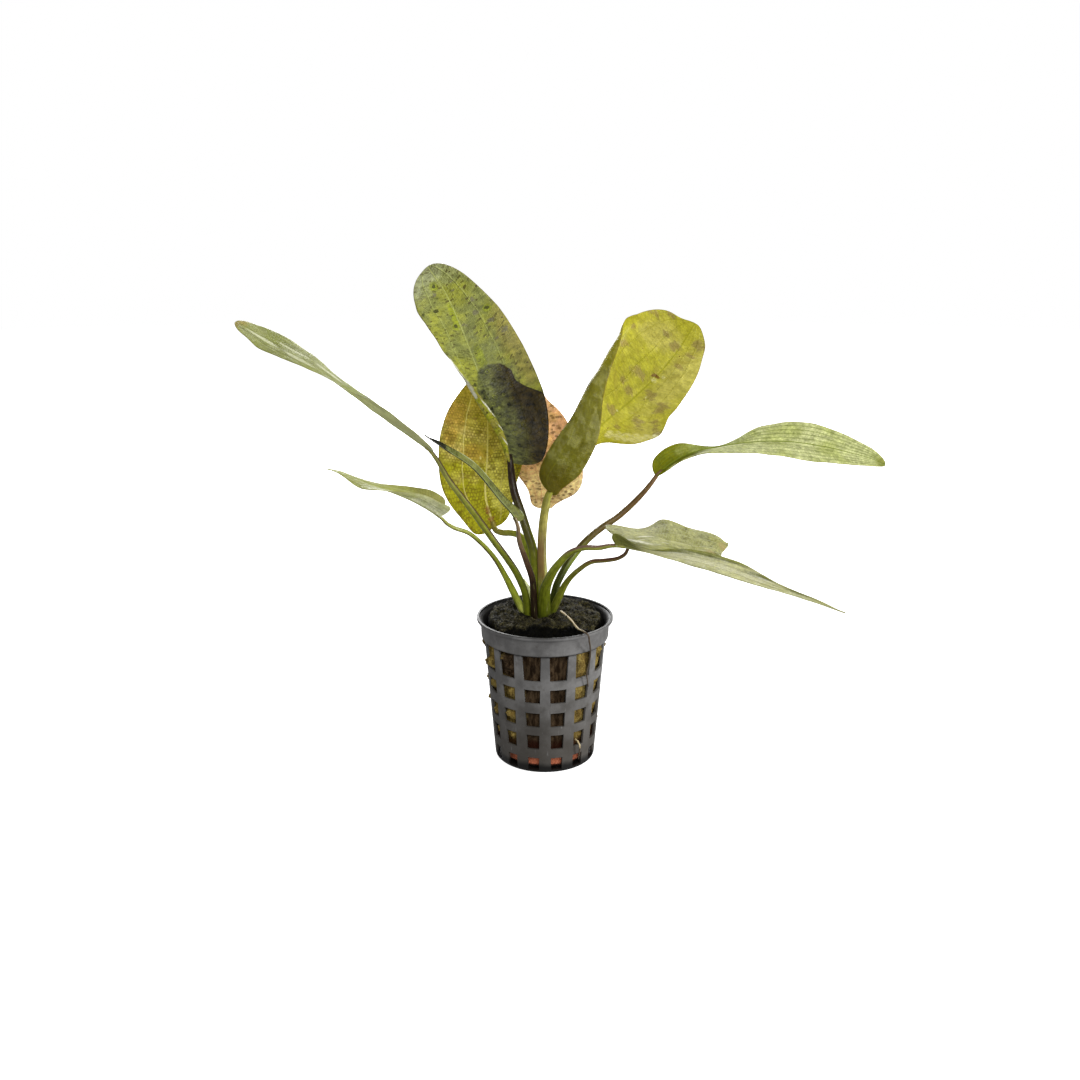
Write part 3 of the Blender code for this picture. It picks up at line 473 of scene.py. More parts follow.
STALK_LOOKS = {
    "tall_left": StalkLook([(0, (128, 138, 30)), (0.25, (106, 112, 26)), (0.5, (74, 72, 26)),
                            (0.8, (44, 32, 20)), (1, (36, 24, 18))],
                           streak=(140, 150, 40), streak_side=(1, -0.3), streak_to=0.5),
    "back_left": StalkLook([(0, (140, 150, 40)), (0.15, (168, 186, 26)), (0.55, (150, 160, 44)),
                            (1, (124, 112, 52))]),
    "tall_right": StalkLook([(0, (146, 152, 48)), (0.22, (160, 162, 76)), (0.5, (146, 138, 76)),
                             (0.7, (138, 130, 62)), (1, (120, 120, 44))],
                            streak=(114, 86, 52), streak_side=(-0.5, 1), streak_to=0.6),
    "long_left": StalkLook([(0, (104, 112, 32)), (0.2, (96, 104, 28)), (0.6, (122, 126, 44)),
                            (1, (134, 132, 74))], streak=(56, 32, 26), streak_side=(-0.3, 1)),
    "back_bronze": StalkLook([(0, (130, 130, 50)), (1, (150, 110, 60))]),
    "narrow_front": StalkLook([(0, (30, 24, 16)), (0.35, (48, 36, 28)), (0.6, (84, 62, 46)),
                               (1, (122, 104, 78))]),
    "low_left": StalkLook([(0, (190, 196, 100)), (0.18, (148, 158, 52)), (0.5, (126, 134, 46)),
                           (1, (138, 140, 72))],
                          streak=(86, 70, 36), streak_side=(0, -1), streak_from=0.3),
    "long_right": StalkLook([(0, (40, 50, 12)), (0.25, (56, 62, 18)), (0.45, (86, 74, 34)),
                             (0.8, (92, 70, 40)), (1, (108, 84, 54))],
                            streak=(116, 130, 44), streak_side=(1, -0.3), streak_to=0.4),
    "torn_right": StalkLook([(0, (64, 70, 20)), (0.3, (104, 108, 36)), (0.6, (126, 122, 54)),
                             (1, (112, 84, 58))],
                            streak=(92, 52, 46), streak_side=(0.6, 1), streak_from=0.5),
    "low_right": StalkLook([(0, (54, 60, 16)), (0.15, (78, 84, 22)), (0.5, (128, 136, 42)),
                            (1, (146, 148, 66))],
                           streak=(112, 78, 82), streak_side=(0.6, 1), streak_from=0.5),
}


def through(knots, values, at):
    """Smooth line that passes through the values at the knots."""
    knots = np.asarray(knots, float)
    values = np.asarray(values, float)
    slopes = np.gradient(values, knots, axis=0)
    step = np.clip(np.searchsorted(knots, at, side="right") - 1, 0, len(knots) - 2)
    span = knots[step + 1] - knots[step]
    f = (at - knots[step]) / span
    if values.ndim == 2:
        f, span = f[:, None], span[:, None]
    start = (1 + 2 * f) * (1 - f) ** 2 * values[step] + f * (1 - f) ** 2 * span * slopes[step]
    end = f * f * (3 - 2 * f) * values[step + 1] + f * f * (f - 1) * span * slopes[step + 1]
    return start + end


def profile(values, t):
    """Value at t, from 0 to 1, of a smooth line through values at even steps."""
    if len(values) == 1:
        return np.full_like(t, values[0])
    return through(np.linspace(0, 1, len(values)), values, t)


def runs(points):
    """Length of each straight run from point to point."""
    return np.linalg.norm(np.diff(np.asarray(points, float), axis=0), axis=1)


def along(points, u):
    """Place and direction at each u, from 0 to 1, on the smooth line through points."""
    knots = np.concatenate([[0], np.cumsum(runs(points))]) / runs(points).sum()
    step = 0.001
    ahead = through(knots, points, np.clip(u + step, 0, 1))
    way = ahead - through(knots, points, np.clip(u - step, 0, 1))
    return through(knots, points, u), way / np.linalg.norm(way, axis=1, keepdims=True)


def frames(points, facing, roll, u):
    """Place, forward, right and up at each u, where up is as near to facing as it can be."""
    place, forward = along(points, u)
    right = np.cross(forward, np.asarray(facing, float))
    right /= np.linalg.norm(right, axis=1, keepdims=True)
    up = np.cross(right, forward)
    cos, sin = np.cos(np.radians(roll))[:, None], np.sin(np.radians(roll))[:, None]
    return place, forward, right * cos + up * sin, up * cos - right * sin


def section(out, fold, curl, crease, softness):
    """Run and rise of half a blade at out, 0 at the midrib and 1 at the margin, per unit width."""
    slices = 12
    part = (np.arange(slices) + 0.5) / slices * out[:, None]
    f = np.clip((part - crease[:, None] + softness) / (2 * softness), 0, 1)
    bend = np.radians(fold[:, None] + curl[:, None] * f * f * (3 - 2 * f))
    return out * np.cos(bend).mean(axis=1), out * np.sin(bend).mean(axis=1)


def eased(t):
    """Share of the midrib's length at t: the rows lie closer at its ends."""
    return (1 - np.cos(np.pi * t)) / 2


def sided(left, right, t, s):
    """Value at t of the profile of the side that s lies on."""
    return np.where(s > 0, profile(left, t), profile(right, t))


def half_width(leaf, t, s):
    return np.maximum(sided(leaf.left, leaf.right, t, s), THINNEST_HALF)


def blade_points(leaf, t, s):
    """Points of the blade in mm: t from 0 at the stalk to 1 at the tip, s from -1 right to 1 left."""
    u = eased(t)
    place, forward, right, up = frames(leaf.rib, leaf.upper, profile(leaf.roll, t), u)
    on_left, out = s > 0, np.abs(s)
    width = half_width(leaf, t, s)
    run, rise = section(
        out,
        sided(leaf.fold_left, leaf.fold_right, t, s),
        sided(leaf.curl_left, leaf.curl_right, t, s),
        sided(leaf.crease_left, leaf.crease_right, t, s),
        leaf.crease_softness,
    )
    height, waves, start = leaf.ripple
    wave = height * np.sin(2 * np.pi * (waves * u + start + WAVE_SHIFT * on_left))
    wave *= out**2 * np.sin(np.pi * t)
    full = np.where(on_left, max(leaf.left), max(leaf.right))
    back = np.where(on_left, *leaf.lobes) * width * out / full * np.clip(1 - 2 * t, 0, 1)
    aside = width * run * np.where(on_left, -1, 1)
    points = place + right * aside[:, None] + up * (width * rise + wave)[:, None]
    return points - forward * back[:, None]


def blade_normals(leaf, t, s):
    """Unit vectors off the upper side of the blade."""
    step = 0.004
    onward = blade_points(leaf, np.minimum(t + step, 1), s)
    onward -= blade_points(leaf, np.maximum(t - step, 0), s)
    across = blade_points(leaf, t, np.minimum(s + step, 1))
    across -= blade_points(leaf, t, np.maximum(s - step, -1))
    normals = np.cross(onward, across)
    return normals / np.maximum(np.linalg.norm(normals, axis=-1, keepdims=True), 1e-9)


# ---------------------------------------------------------------- finishes


class Wire:
    """A shader value. Arithmetic on wires adds the Math nodes that work it out."""

    def __init__(self, finish, socket):
        self.finish = finish
        self.socket = socket

    def math(self, operation, *others):
        return self.finish.math(operation, self, *others)

    def math_behind(self, operation, other):
        """The same with this value second."""
        return self.finish.math(operation, other, self)

    __add__ = __radd__ = partialmethod(math, "ADD")
    __mul__ = __rmul__ = partialmethod(math, "MULTIPLY")
    __sub__ = partialmethod(math, "SUBTRACT")
    __rsub__ = partialmethod(math_behind, "SUBTRACT")
    __truediv__ = partialmethod(math, "DIVIDE")
    __rtruediv__ = partialmethod(math_behind, "DIVIDE")
    __pow__ = partialmethod(math, "POWER")
    __rpow__ = partialmethod(math_behind, "POWER")
    size = partialmethod(math, "ABSOLUTE")
    least = partialmethod(math, "MINIMUM")
    most = partialmethod(math, "MAXIMUM")

    def sway(self, by):
        """Noise from 0 to 1 as a swing of up to half of by, either way."""
        return (self - 0.5) * by

    def step(self, start, end):
        """0 up to start, 1 from end on, and a smooth rise between; start may be the greater."""
        if start > end:
            return 1 - self.step(end, start)
        settings = {"interpolation_type": "SMOOTHSTEP"}
        return self.finish.node("ShaderNodeMapRange", settings, {0: self, 1: start, 2: end})


class Finish:
    """One material, built node by node. Three numbers are a colour on the 0 to 255 scale."""

    def __init__(self, name, **shader):
        self.material = bpy.data.materials.new(name)
        self.material.use_nodes = True
        self.tree = self.material.node_tree
        self.shader = self.tree.nodes["Principled BSDF"]
        self.use(**shader)

    def set(self, node, values):
        """Give a node's sockets their values or wires."""
        for key, value in values.items():
            socket = node.inputs[key]
            if isinstance(value, Wire):
                self.tree.links.new(value.socket, socket)
            elif socket.type == "RGBA" and len(value) == 3:
                socket.default_value = (*[(c / 255) ** 2.2 for c in value], 1)
            else:
                socket.default_value = value

    def use(self, **shader):
        """Feed the main shader, by socket names such as base_color."""
        names = {key: key.replace("_", " ").title().replace("Ior", "IOR") for key in shader}
        self.set(self.shader, {names[key]: value for key, value in shader.items()})

    def node(self, kind, settings=None, values=None, output=0):
        """A new node: its settings first, then the values or wires of its sockets."""
        node = self.tree.nodes.new(kind)
        for key, value in (settings or {}).items():
            setattr(node, key, value)
        self.set(node, values or {})
        return Wire(self, node.outputs[output])

    def math(self, operation, *values):
        return self.node("ShaderNodeMath", {"operation": operation}, dict(enumerate(values)))

    def place(self):
        """Where the point is in the row's frame, in mm."""
        return self.scaled(self.node("ShaderNodeTexCoord", output="Object"), 1000)

    def attribute(self, name):
        return self.node("ShaderNodeAttribute", {"attribute_name": name}, output="Vector")

    def parts(self, vector):
        split = self.node("ShaderNodeSeparateXYZ", None, {0: vector}).socket.node
        return [Wire(self, s) for s in split.outputs]

    def joined(self, x, y, z):
        return self.node("ShaderNodeCombineXYZ", None, {0: x, 1: y, 2: z})

    def scaled(self, vector, by):
        """A vector times a number, or times a number along each axis."""
        by = by if isinstance(by, tuple) else (by,) * 3
        return self.node("ShaderNodeVectorMath", {"operation": "MULTIPLY"}, {0: vector, 1: by})

    def dimmed(self, colour, by):
        """A colour made lighter or darker by a number."""
        return self.node("ShaderNodeVectorMath", {"operation": "SCALE"}, {0: colour, "Scale": by})

    def cloud(self, vector, size, detail=2.0, roughness=0.5):
        """Soft noise from 0 to 1 with lumps of about that size."""
        values = {"Vector": vector, "Scale": 1 / size, "Detail": detail, "Roughness": roughness}
        return self.node("ShaderNodeTexNoise", None, values)

    def blocks(self, vector, width, height, line):
        """Staggered rows of blocks: a random value for each block, and 1 on the lines between."""
        values = {"Vector": vector, "Color1": (0, 0, 0, 1), "Color2": (1, 1, 1, 1), "Scale": 1.0}
        values |= {"Mortar": (0.4, 0.4, 0.4, 1), "Mortar Size": line, "Mortar Smooth": 0.9}
        values |= {"Brick Width": width, "Row Height": height}
        tone = self.node("ShaderNodeTexBrick", {"offset": 0.5}, values, "Color")
        return tone, Wire(self, tone.socket.node.outputs["Fac"])

    def cells(self, vector, size):
        """Scattered points: how near the closest one is, and a random number of its own."""
        near = self.node("ShaderNodeTexVoronoi", None, {"Vector": vector, "Scale": 1 / size})
        return near, self.parts(Wire(self, near.socket.node.outputs["Color"]))[0]

    def mix(self, factor, low, high, blend="MIX"):
        """Colour from low to high as factor goes from 0 to 1."""
        settings = {"data_type": "RGBA", "blend_type": blend, "clamp_factor": True}
        return self.node("ShaderNodeMix", settings, {0: factor, 6: low, 7: high}, 2)

    def bump(self, height, distance, strength=1.0):
        """Normal of a height from 0 to 1 that stands for a distance in mm."""
        values = {"Height": height, "Distance": distance * MM, "Strength": strength}
        return self.node("ShaderNodeBump", None, values)

    def let_through(self, colour, share):
        """Lets light through a thin sheet: share of the surface is a translucent one."""
        sheet = self.node("ShaderNodeBsdfTranslucent", None, {0: colour})
        values = {0: share, 1: Wire(self, self.shader.outputs[0]), 2: sheet}
        whole = self.node("ShaderNodeMixShader", None, values)
        self.set(self.tree.nodes["Material Output"], {"Surface": whole})

    # The colour is painted in coats, one over the other.

    def ground(self, colour):
        self.colour = colour

    def paint(self, share, colour):
        self.colour = self.mix(share, self.colour, colour)

    def dim(self, by):
        self.colour = self.dimmed(self.colour, by)

    def done(self, **shader):
        """Feed the main shader with the painted colour and the rest."""
        self.use(base_color=self.colour, **shader)
        return self


# ---------------------------------------------------------------- making pieces


def put(name, data):
    """A new object in the scene."""
    obj = bpy.data.objects.new(name, data)
    bpy.context.scene.collection.objects.link(obj)
    return obj


def as_piece(name, mesh, finish, nodes):
    """Put a mesh in the scene as a piece that stands for CAD nodes."""
    mesh.materials.append(finish.material)
    mesh.shade_smooth()
    obj = put(name, mesh)
    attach(obj, "root")
    if nodes:
        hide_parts(*nodes)
    return obj


def to_mesh(name, bm, places=None, carried=None):
    """Mesh in metres of a bmesh in mm, or with its points at places in mm, and the values that
    each point carries."""
    if places is None:
        bmesh.ops.transform(bm, matrix=Matrix.Scale(MM, 4), verts=bm.verts)
    mesh = bpy.data.meshes.new(name)
    bm.to_mesh(mesh)
    bm.free()
    if places is not None:
        mesh.vertices.foreach_set("co", (places * MM).ravel())
    for key, values in (carried or {}).items():
        layer = mesh.attributes.new(key, "FLOAT_VECTOR", "POINT")
        layer.data.foreach_set("vector", np.stack(values, axis=1).astype(float).ravel())
    mesh.update()
    return mesh


def flat_points(bm):
    return np.array([v.co for v in bm.verts])


def ragged(x, y, seed):
    """Smooth noise at each point, about -0.5 to 0.5."""
    return np.array([noise.noise(Vector((a, b, seed))) for a, b in zip(x, y)])


# ---------------------------------------------------------------- leaves


def hump(off, wide):
    """1 in the middle, with a smooth fall to both sides."""
    return np.exp(-((off / wide) ** 2))


def inside(corners, x, y):
    """How far each point lies inside a closed outline, below 0 outside, mm."""
    corners = np.array(corners, float)
    within = np.zeros(len(x), bool)
    nearest = np.full(len(x), np.inf)
    for (ax, ay), (bx, by) in zip(corners, np.roll(corners, -1, axis=0)):
        dx, dy = bx - ax, by - ay
        within ^= ((ay > y) != (by > y)) & (x < ax + dx * (y - ay) / (dy or 1e-9))
        run = np.clip(((x - ax) * dx + (y - ay) * dy) / (dx**2 + dy**2), 0, 1)
        nearest = np.minimum(nearest, np.hypot(x - ax - run * dx, y - ay - run * dy))
    return np.where(within, nearest, -nearest)


def patches(rows, x, y):
    """1 at the middle of the nearest patch, 0 on its edge and below 0 outside, to -1."""
    value = np.full(len(x), -1.0)
    for along_rib, across, long, wide in rows:
        value = np.maximum(value, 1 - np.hypot((x - along_rib) / long, (y - across) / wide))
    return value


def build_blade(leaf, look):
    """One blade: a fine slab laid along the midrib, thin at the margin and thick at the rib."""
    bm = bmesh.new()
    bmesh.ops.create_grid(bm, x_segments=look.steps, y_segments=look.columns, size=0.5)
    bmesh.ops.extrude_face_region(bm, geom=bm.faces[:])
    layers = list(bm.verts)
    gap = 0.001
    bmesh.ops.translate(bm, vec=(0, 0, gap), verts=layers[len(layers) // 2 :])
    bmesh.ops.recalc_face_normals(bm, faces=bm.faces)
    flat = flat_points(bm)
    t, s, top = flat[:, 0] + 0.5, flat[:, 1] * 2, flat[:, 2] > gap / 2
    u = eased(t)
    half = half_width(leaf, t, s)
    x, y = u * runs(leaf.rib).sum(), s * half
    inward = s.copy()
    for where, side, depth, reach in look.dents:
        inward *= 1 - depth / half * hump(x - where, reach) * (s * side > 0)
    points = blade_points(leaf, t, inward)
    normals = blade_normals(leaf, t, inward)
    forward = along(leaf.rib, u)[1]
    for where, depth, wide in look.tip_waves:
        wave = depth * hump(y - where, wide) * np.clip((u - TIP_START) / (1 - TIP_START), 0, 1) ** 2
        points -= forward * wave[:, None]
    rise = look.puckers * 2 * ragged(x * 0.16, y * 0.22, 3.1) * np.minimum(1, half / 4)
    rise += look.waves * 2 * ragged(x * 0.12, s * 0.5, 7.7) * s**2 * np.minimum(1, half / 5)
    edge = (1 - np.abs(s)) * half
    thickness = MARGIN_THICKNESS + THICKER_WITHIN * np.clip(edge / MARGIN_TAPER, 0, 1)
    rib_half = RIB_HALF_WIDTH[0] + (RIB_HALF_WIDTH[1] - RIB_HALF_WIDTH[0]) * u
    rib = hump(y, rib_half) * (1 - u) ** 0.5 * look.rib_thickness
    lift = rise + np.where(top, thickness / 2 - 0.25 * rib, -thickness / 2 - rib)
    shade = patches(look.shades, x, y)
    if look.outline:
        shade = np.clip(inside(look.outline, x, y), -4, 4)
    carried = {
        "leaf": (u, s, top),
        "flat": (x, y, half),
        "blotch_shade_highlight": (shade, patches(look.blotches, x, y), patches(look.pale_lines_and_highlights, x, y)),
        "mark": [patches(rows, x, y) for rows in (look.dots, look.fresh_and_lit_patches, look.tints_and_fold_shade)],
    }
    node = "leaf_" + leaf.name
    mesh = to_mesh(node, bm, points + normals * lift[:, None], carried)
    as_piece("blade_" + leaf.name, mesh, leaf_finish(leaf.name, look), [node])


def leaf_finish(name, look):
    """Veined leaf: clouds, fine-vein blocks, side veins, midrib, spots, patches, painted shade and
    highlights.
    """
    finish = Finish("finish_leaf_" + name, specular_ior_level=look.gloss)
    u, s, top = finish.parts(finish.attribute("leaf"))
    flat = finish.attribute("flat")
    x, y, half = finish.parts(flat)
    shade, blotch, pale = finish.parts(finish.attribute("blotch_shade_highlight"))
    dot, bright, warm = finish.parts(finish.attribute("mark"))
    wander = finish.cloud(flat, 6)
    grain = finish.cloud(flat, 0.7, 3, 0.65)
    weave = finish.cloud(finish.scaled(flat, (1, 0.4, 0)), 1.5, 4, 0.65)
    lumpy = finish.cloud(flat, 3.2, 3, 0.6)
    leaning = finish.joined(x - y.size() * 0.7, y * 0.42, 0)
    ragged_edge = finish.cloud(leaning, 2.2, 4, 0.65).sway(3.6)
    fine_edge = grain.sway(1.2)
    # the upper side, the underside, the large tints, painted light and painted fold shade
    cloudy = finish.cloud(flat, look.cloud, 3).step(0.38, 0.62)
    finish.ground(finish.mix(cloudy, look.skin, look.second))
    if look.tip:
        finish.paint((u + wander.sway(0.16)).step(look.tip_start, 1), look.tip)
    soft = 0.05 if look.under_sharp else 0.1
    cloudy = finish.cloud(flat, look.cloud * 0.35, 4, 0.6).step(0.5 - soft, 0.5 + soft)
    under = finish.mix(cloudy, look.under, look.under_second or look.under)
    finish.ground(finish.mix(top, under, finish.colour))
    if look.foot:
        reach = u + wander.sway(look.foot_reach)
        finish.paint(reach.step(look.foot_reach, look.foot_reach * 0.4), look.foot)
    if look.tints_and_fold_shade:
        finish.paint((warm + ragged_edge * 0.3).step(-0.15, 0.6) * 0.7, look.warm)
    if look.fresh_and_lit_patches:
        finish.paint((bright + ragged_edge * 0.25).step(0, 0.5) * 0.7, look.bright)
    # blocks between the fine veins
    across = y.size() + wander.sway(1.6) + grain.sway(0.7)
    onward = x - y.size() * look.lean + finish.cloud(flat, 3.3, 3).sway(2.2)
    tone, line = finish.blocks(finish.joined(across, onward, 0), *look.cell, look.line)
    seen = finish.cloud(flat, 4.5).step(0.3, 0.62)
    net = line * (seen * 0.7 + 0.3)
    light = 1 + weave.sway(1.5 * look.weave) + lumpy.sway(1.3 * look.weave)
    light = light - (tone - 0.4) * seen * look.mottle
    height = line * 0.35 + weave * 0.5 + grain * 0.15
    if look.streaks:
        long = finish.cloud(finish.scaled(flat, (0.07, 1.3, 0)), 1.1, 3, 0.6)
        light = light + long.sway(2.4 * look.streaks)
        height = height + long * 0.7
    finish.dim(light)
    if look.dapple:
        dapple = finish.cloud(leaning, 3.6, 5, 0.62).step(0.5, 0.68)
        finish.paint(dapple * look.dapple * top, look.blotch)
    finish.paint(net * look.net, look.line_colour or look.vein)
    # side veins, the midrib and the margin
    out = s.size() + wander.sway(0.05)
    for where in look.laterals:
        off = (out - where).size() * half
        run = off.step(0.42, 0.12) * u.step(0, 0.06) * (grain * 0.6 + 0.6).least(1)
        finish.paint(run * look.lateral, look.vein)
        height = height + run * 0.7
    rib = (y.size() / (0.95 - 0.6 * u)).step(0.7, 0.3)
    finish.paint(rib * look.midrib, look.vein)
    edge = (1 - s.size()) * half
    finish.paint((edge + fine_edge * 0.4).step(look.margin_width, 0) * 0.7, look.margin)
    # marks; dark is how much of the light each of them holds back
    dark = net * (look.net * 0.6)
    if look.spots:
        group = finish.cloud(flat, 9, 2).step(0.36, 0.6) * 0.5 + 0.5
        least = 1 - look.spots * 2
        spot = (tone + fine_edge * 0.04).step(least, least + 0.03) * group
        spot = spot * (1 - line) * finish.cloud(flat, 1.2, 2).step(0.34, 0.48)
        finish.paint(spot * 0.8, look.spot)
        dark = spot * 0.4 + dark
    if look.specks:
        near, chance = finish.cells(finish.scaled(flat, (1, 0.6, 0)), look.speck_size)
        share = look.specks * 0.35
        speck = (near + fine_edge * 0.25).step(0.46, 0.24) * chance.step(share + 0.01, share - 0.01)
        finish.paint(speck * 0.75, look.speck)
        dark = speck * 0.4 + dark
    if look.blotches:
        patch = (blotch * 0.8 + ragged_edge * 0.75 + fine_edge * 0.3).step(-0.15, 0.4) * 0.8
        finish.paint(patch, look.blotch)
        dark = patch * 0.8 + dark
    if look.dots:
        patch = (dot + fine_edge * 0.5).step(0, 0.3)
        finish.paint(patch * 0.9, look.dot)
        dark = patch * 0.7 + dark
    # painted shade: the shadow that tall_right casts on tall_left, and shade at folds and bases on
    # other blades, with lumps, pits and painted highlight rings inside
    if look.shade:
        near = (y + wander.sway(6)).step(-13, 1)
        low = finish.mix(near, (*look.shade, 1), (*(look.shade_near or look.shade), 1))
        patch = (shade / (near * 3 + 1) + fine_edge * 0.2).step(-0.12, 0.22)
        patch = patch * (1 - (1 - top) * y.step(0, 2))
        pit, chance = finish.cells(flat, 2.7)
        highlight_ring = (pit + fine_edge * 0.08 - 0.3).size().step(0.09, 0.02) * chance.step(0.76, 0.8)
        hollow = (pit + fine_edge * 0.15).step(0.36, 0.16) * chance.step(0.5, 0.45)
        uneven = weave.sway(3) + lumpy.sway(2.6) + grain.sway(2) + highlight_ring * 1.1 - hollow * 0.5
        inner = finish.dimmed(low, 1 + uneven * look.pitted)
        height = height + (highlight_ring - hollow) * shade.step(0, 1) * (0.8 * look.pitted)
        even = finish.mix(0.65, finish.colour, look.skin)
        finish.paint(patch, finish.mix(1, even, inner, "MULTIPLY"))
        dark = patch * 0.95 + dark
    # pale lines and painted highlights, broken by green streaks
    if look.pale_lines_and_highlights:
        green = finish.cloud(leaning, 0.8, 3).step(0.64, 0.44) * look.fanned + (1 - look.fanned)
        finish.paint((pale + fine_edge * 0.4).step(-0.05, 0.45) * green, look.pale)
    finish.dim(1.12 - grain.step(0.35, 0.7) * 0.24)
    shine = finish.cloud(flat, 2.2, 2) * 0.25 + (look.roughness - 0.12)
    finish.let_through(look.glow, (1 - dark.least(1)) * look.thin)
    return finish.done(roughness=shine, normal=finish.bump(height, 0.3, 0.9))


# ---------------------------------------------------------------- stalks and roots


def laid_tube(points, facing, widths, flatness, steps, sides, shape=lambda u, side, top: 1):
    """Closed tube along points, with the values that its finish reads."""
    bm = bmesh.new()
    bmesh.ops.create_grid(bm, x_segments=steps, y_segments=sides, size=0.5)
    flat = flat_points(bm)
    u, turn = flat[:, 0] + 0.5, (flat[:, 1] + 0.5) * math.tau
    place, _, right, up = frames(points, facing, np.zeros_like(u), u)
    width = profile(widths, u)
    depth = width * profile(flatness, u)
    side, top = np.cos(turn), np.sin(turn)
    swell = shape(u, side, top)
    places = place + right * (width * side * swell)[:, None] + up * (depth * top * swell)[:, None]
    run = u * runs(points).sum()
    way = bm.verts.layers.float_vector.new("way")
    around = bm.verts.layers.float_vector.new("around")
    for vert, here, *values in zip(bm.verts, places, u, run, width, side, top):
        vert.co = here
        vert[way] = values[:3]
        vert[around] = (*values[3:], values[1])
    bmesh.ops.remove_doubles(bm, verts=bm.verts, dist=MERGE)
    bmesh.ops.holes_fill(bm, edges=[e for e in bm.edges if e.is_boundary])
    bmesh.ops.recalc_face_normals(bm, faces=bm.faces)
    return bm


def build_stalk(leaf, look):
    """One stalk: round above, and hollowed into a sheath towards the foot."""
    start, second = np.array(leaf.stalk[:2], float)
    seat = start - STALK_SEAT * (second - start) / np.linalg.norm(second - start)
    ends, _ = along(leaf.rib, np.array(STALK_ENDS))

    def shape(u, side, top):
        hollow = STALK_GROOVE * (0.35 + 0.65 * np.clip(1 - 2.5 * u, 0, 1))
        return 1 - hollow * np.clip(top, 0, 1) ** 3 + 0.02 * np.cos(9 * np.arctan2(top, side))

    points = [seat, *leaf.stalk, *ends]
    widths = [*leaf.stalk_radius, leaf.stalk_radius[-1] * 0.7]
    bm = laid_tube(points, leaf.sheath_facing, widths, STALK_FLATNESS, STALK_STEPS, STALK_SIDES, shape)
    node = "stalk_" + leaf.name
    as_piece("stem_" + leaf.name, to_mesh(node, bm), stalk_finish(leaf.name, look), [node])


def stalk_finish(name, look):
    """Stalk: colours up its length, stripes along it and fine dark dots."""
    finish = Finish("finish_stalk_" + name, specular_ior_level=0.2)
    u, run, _ = finish.parts(finish.attribute("way"))
    around = finish.attribute("around")
    side, top, _ = finish.parts(around)
    stripes = finish.cloud(finish.joined(run * 0.12, side * 2.2, top * 2.2), 0.55, 3)
    lumpy = finish.cloud(finish.joined(run, side * 2, top * 2), 2.2, 3, 0.6)
    way_up = u + stripes.sway(0.12)
    finish.ground(look.colours[0][1])
    for (start, _), (end, colour) in zip(look.colours, look.colours[1:]):
        finish.paint(way_up.step(start, end), colour)
    finish.dim(1 + stripes.sway(2.2) + lumpy.sway(1.2))
    finish.paint(stripes.step(0.5, 0.8) * 0.35, (0.02, 0.018, 0.006, 1))
    finish.paint(stripes.step(0.42, 0.22) * 0.35, (214, 214, 130))
    if look.streak:
        a, b = look.streak_side
        facing = (side * a + top * b) / math.hypot(a, b) + stripes.sway(0.5)
        seen = facing.step(0.35, 0.75) * u.step(look.streak_from, look.streak_from + 0.15)
        if look.streak_to < 1:
            seen = seen * u.step(look.streak_to + 0.1, look.streak_to - 0.1)
        finish.paint(seen * 0.85, look.streak)
    fine = finish.cloud(finish.scaled(around, (2, 2, 1)), 0.35, 2)
    finish.paint(fine.step(0.66, 0.74) * 0.5, (0.03, 0.022, 0.01, 1))
    normal = finish.bump(stripes + fine * 0.3, 0.15, 0.7)
    return finish.done(roughness=stripes * 0.2 + 0.2, normal=normal)


def build_stub():
    """The pale stub of an old leaf sheath."""
    bm = laid_tube(STUB, (0.4, -1, 0.2), STUB_WIDTHS, (0.4,), 40, 20)
    look = StalkLook([(0, (150, 160, 80)), (0.5, (190, 198, 120)), (1, (200, 204, 150))])
    finish = stalk_finish("stub", look)
    as_piece("old_sheath", to_mesh("leaf_stub", bm), finish, ["leaf_stub"])


def build_roots():
    """The two loose roots, pale near the crown and brown beyond."""
    finish = Finish("finish_root", roughness=0.6)
    u = finish.parts(finish.attribute("way"))[0]
    grain = finish.cloud(finish.attribute("around"), 0.8, 3)
    finish.ground(finish.mix(grain.step(0.35, 0.7), (205, 190, 150), (150, 125, 80)))
    finish.paint((u + grain.sway(0.1)).step(0.42, 0.5), (72, 60, 45))
    finish.done(normal=finish.bump(grain, 0.2))
    for name, (points, radius) in ROOTS.items():
        bm = laid_tube(points, (0.3, 0.9, 0.4), (radius, radius * 0.8, radius * 0.5), (1,), 80, 12,
                       lambda u, side, top: 1 + 0.15 * np.sin(40 * u + 2 * side))
        as_piece("thread_" + name, to_mesh(name, bm), finish, [name])


# ---------------------------------------------------------------- the pot and what fills it


def body_radius(z):
    """Outer radius of the pot's tapered body at height z."""
    return BASE_RADIUS + (BODY_TOP_RADIUS - BASE_RADIUS) * z / BODY_TOP


def window_angle(z):
    """Half the angle that a window spans at height z, degrees."""
    low, high = WINDOW_HALF_ANGLE
    return low + (high - low) * z / BODY_TOP


def window_offset(x, y):
    """Angle from the middle of the nearest window, degrees; a rib stands at the front."""
    return (math.degrees(math.atan2(x, -y)) + COLUMN_PITCH) % COLUMN_PITCH - COLUMN_PITCH / 2


def turned(points, steps):
    """A line of (radius, height) turned round the pot's axis."""
    bm = bmesh.new()
    verts = [bm.verts.new((r, 0, z)) for r, z in points]
    edges = [bm.edges.new(pair) for pair in zip(verts, verts[1:])]
    bmesh.ops.spin(bm, geom=verts + edges, axis=(0, 0, 1), cent=(0, 0, 0), dvec=(0, 0, 0),
                   angle=math.tau, steps=steps, use_merge=True)
    return bm


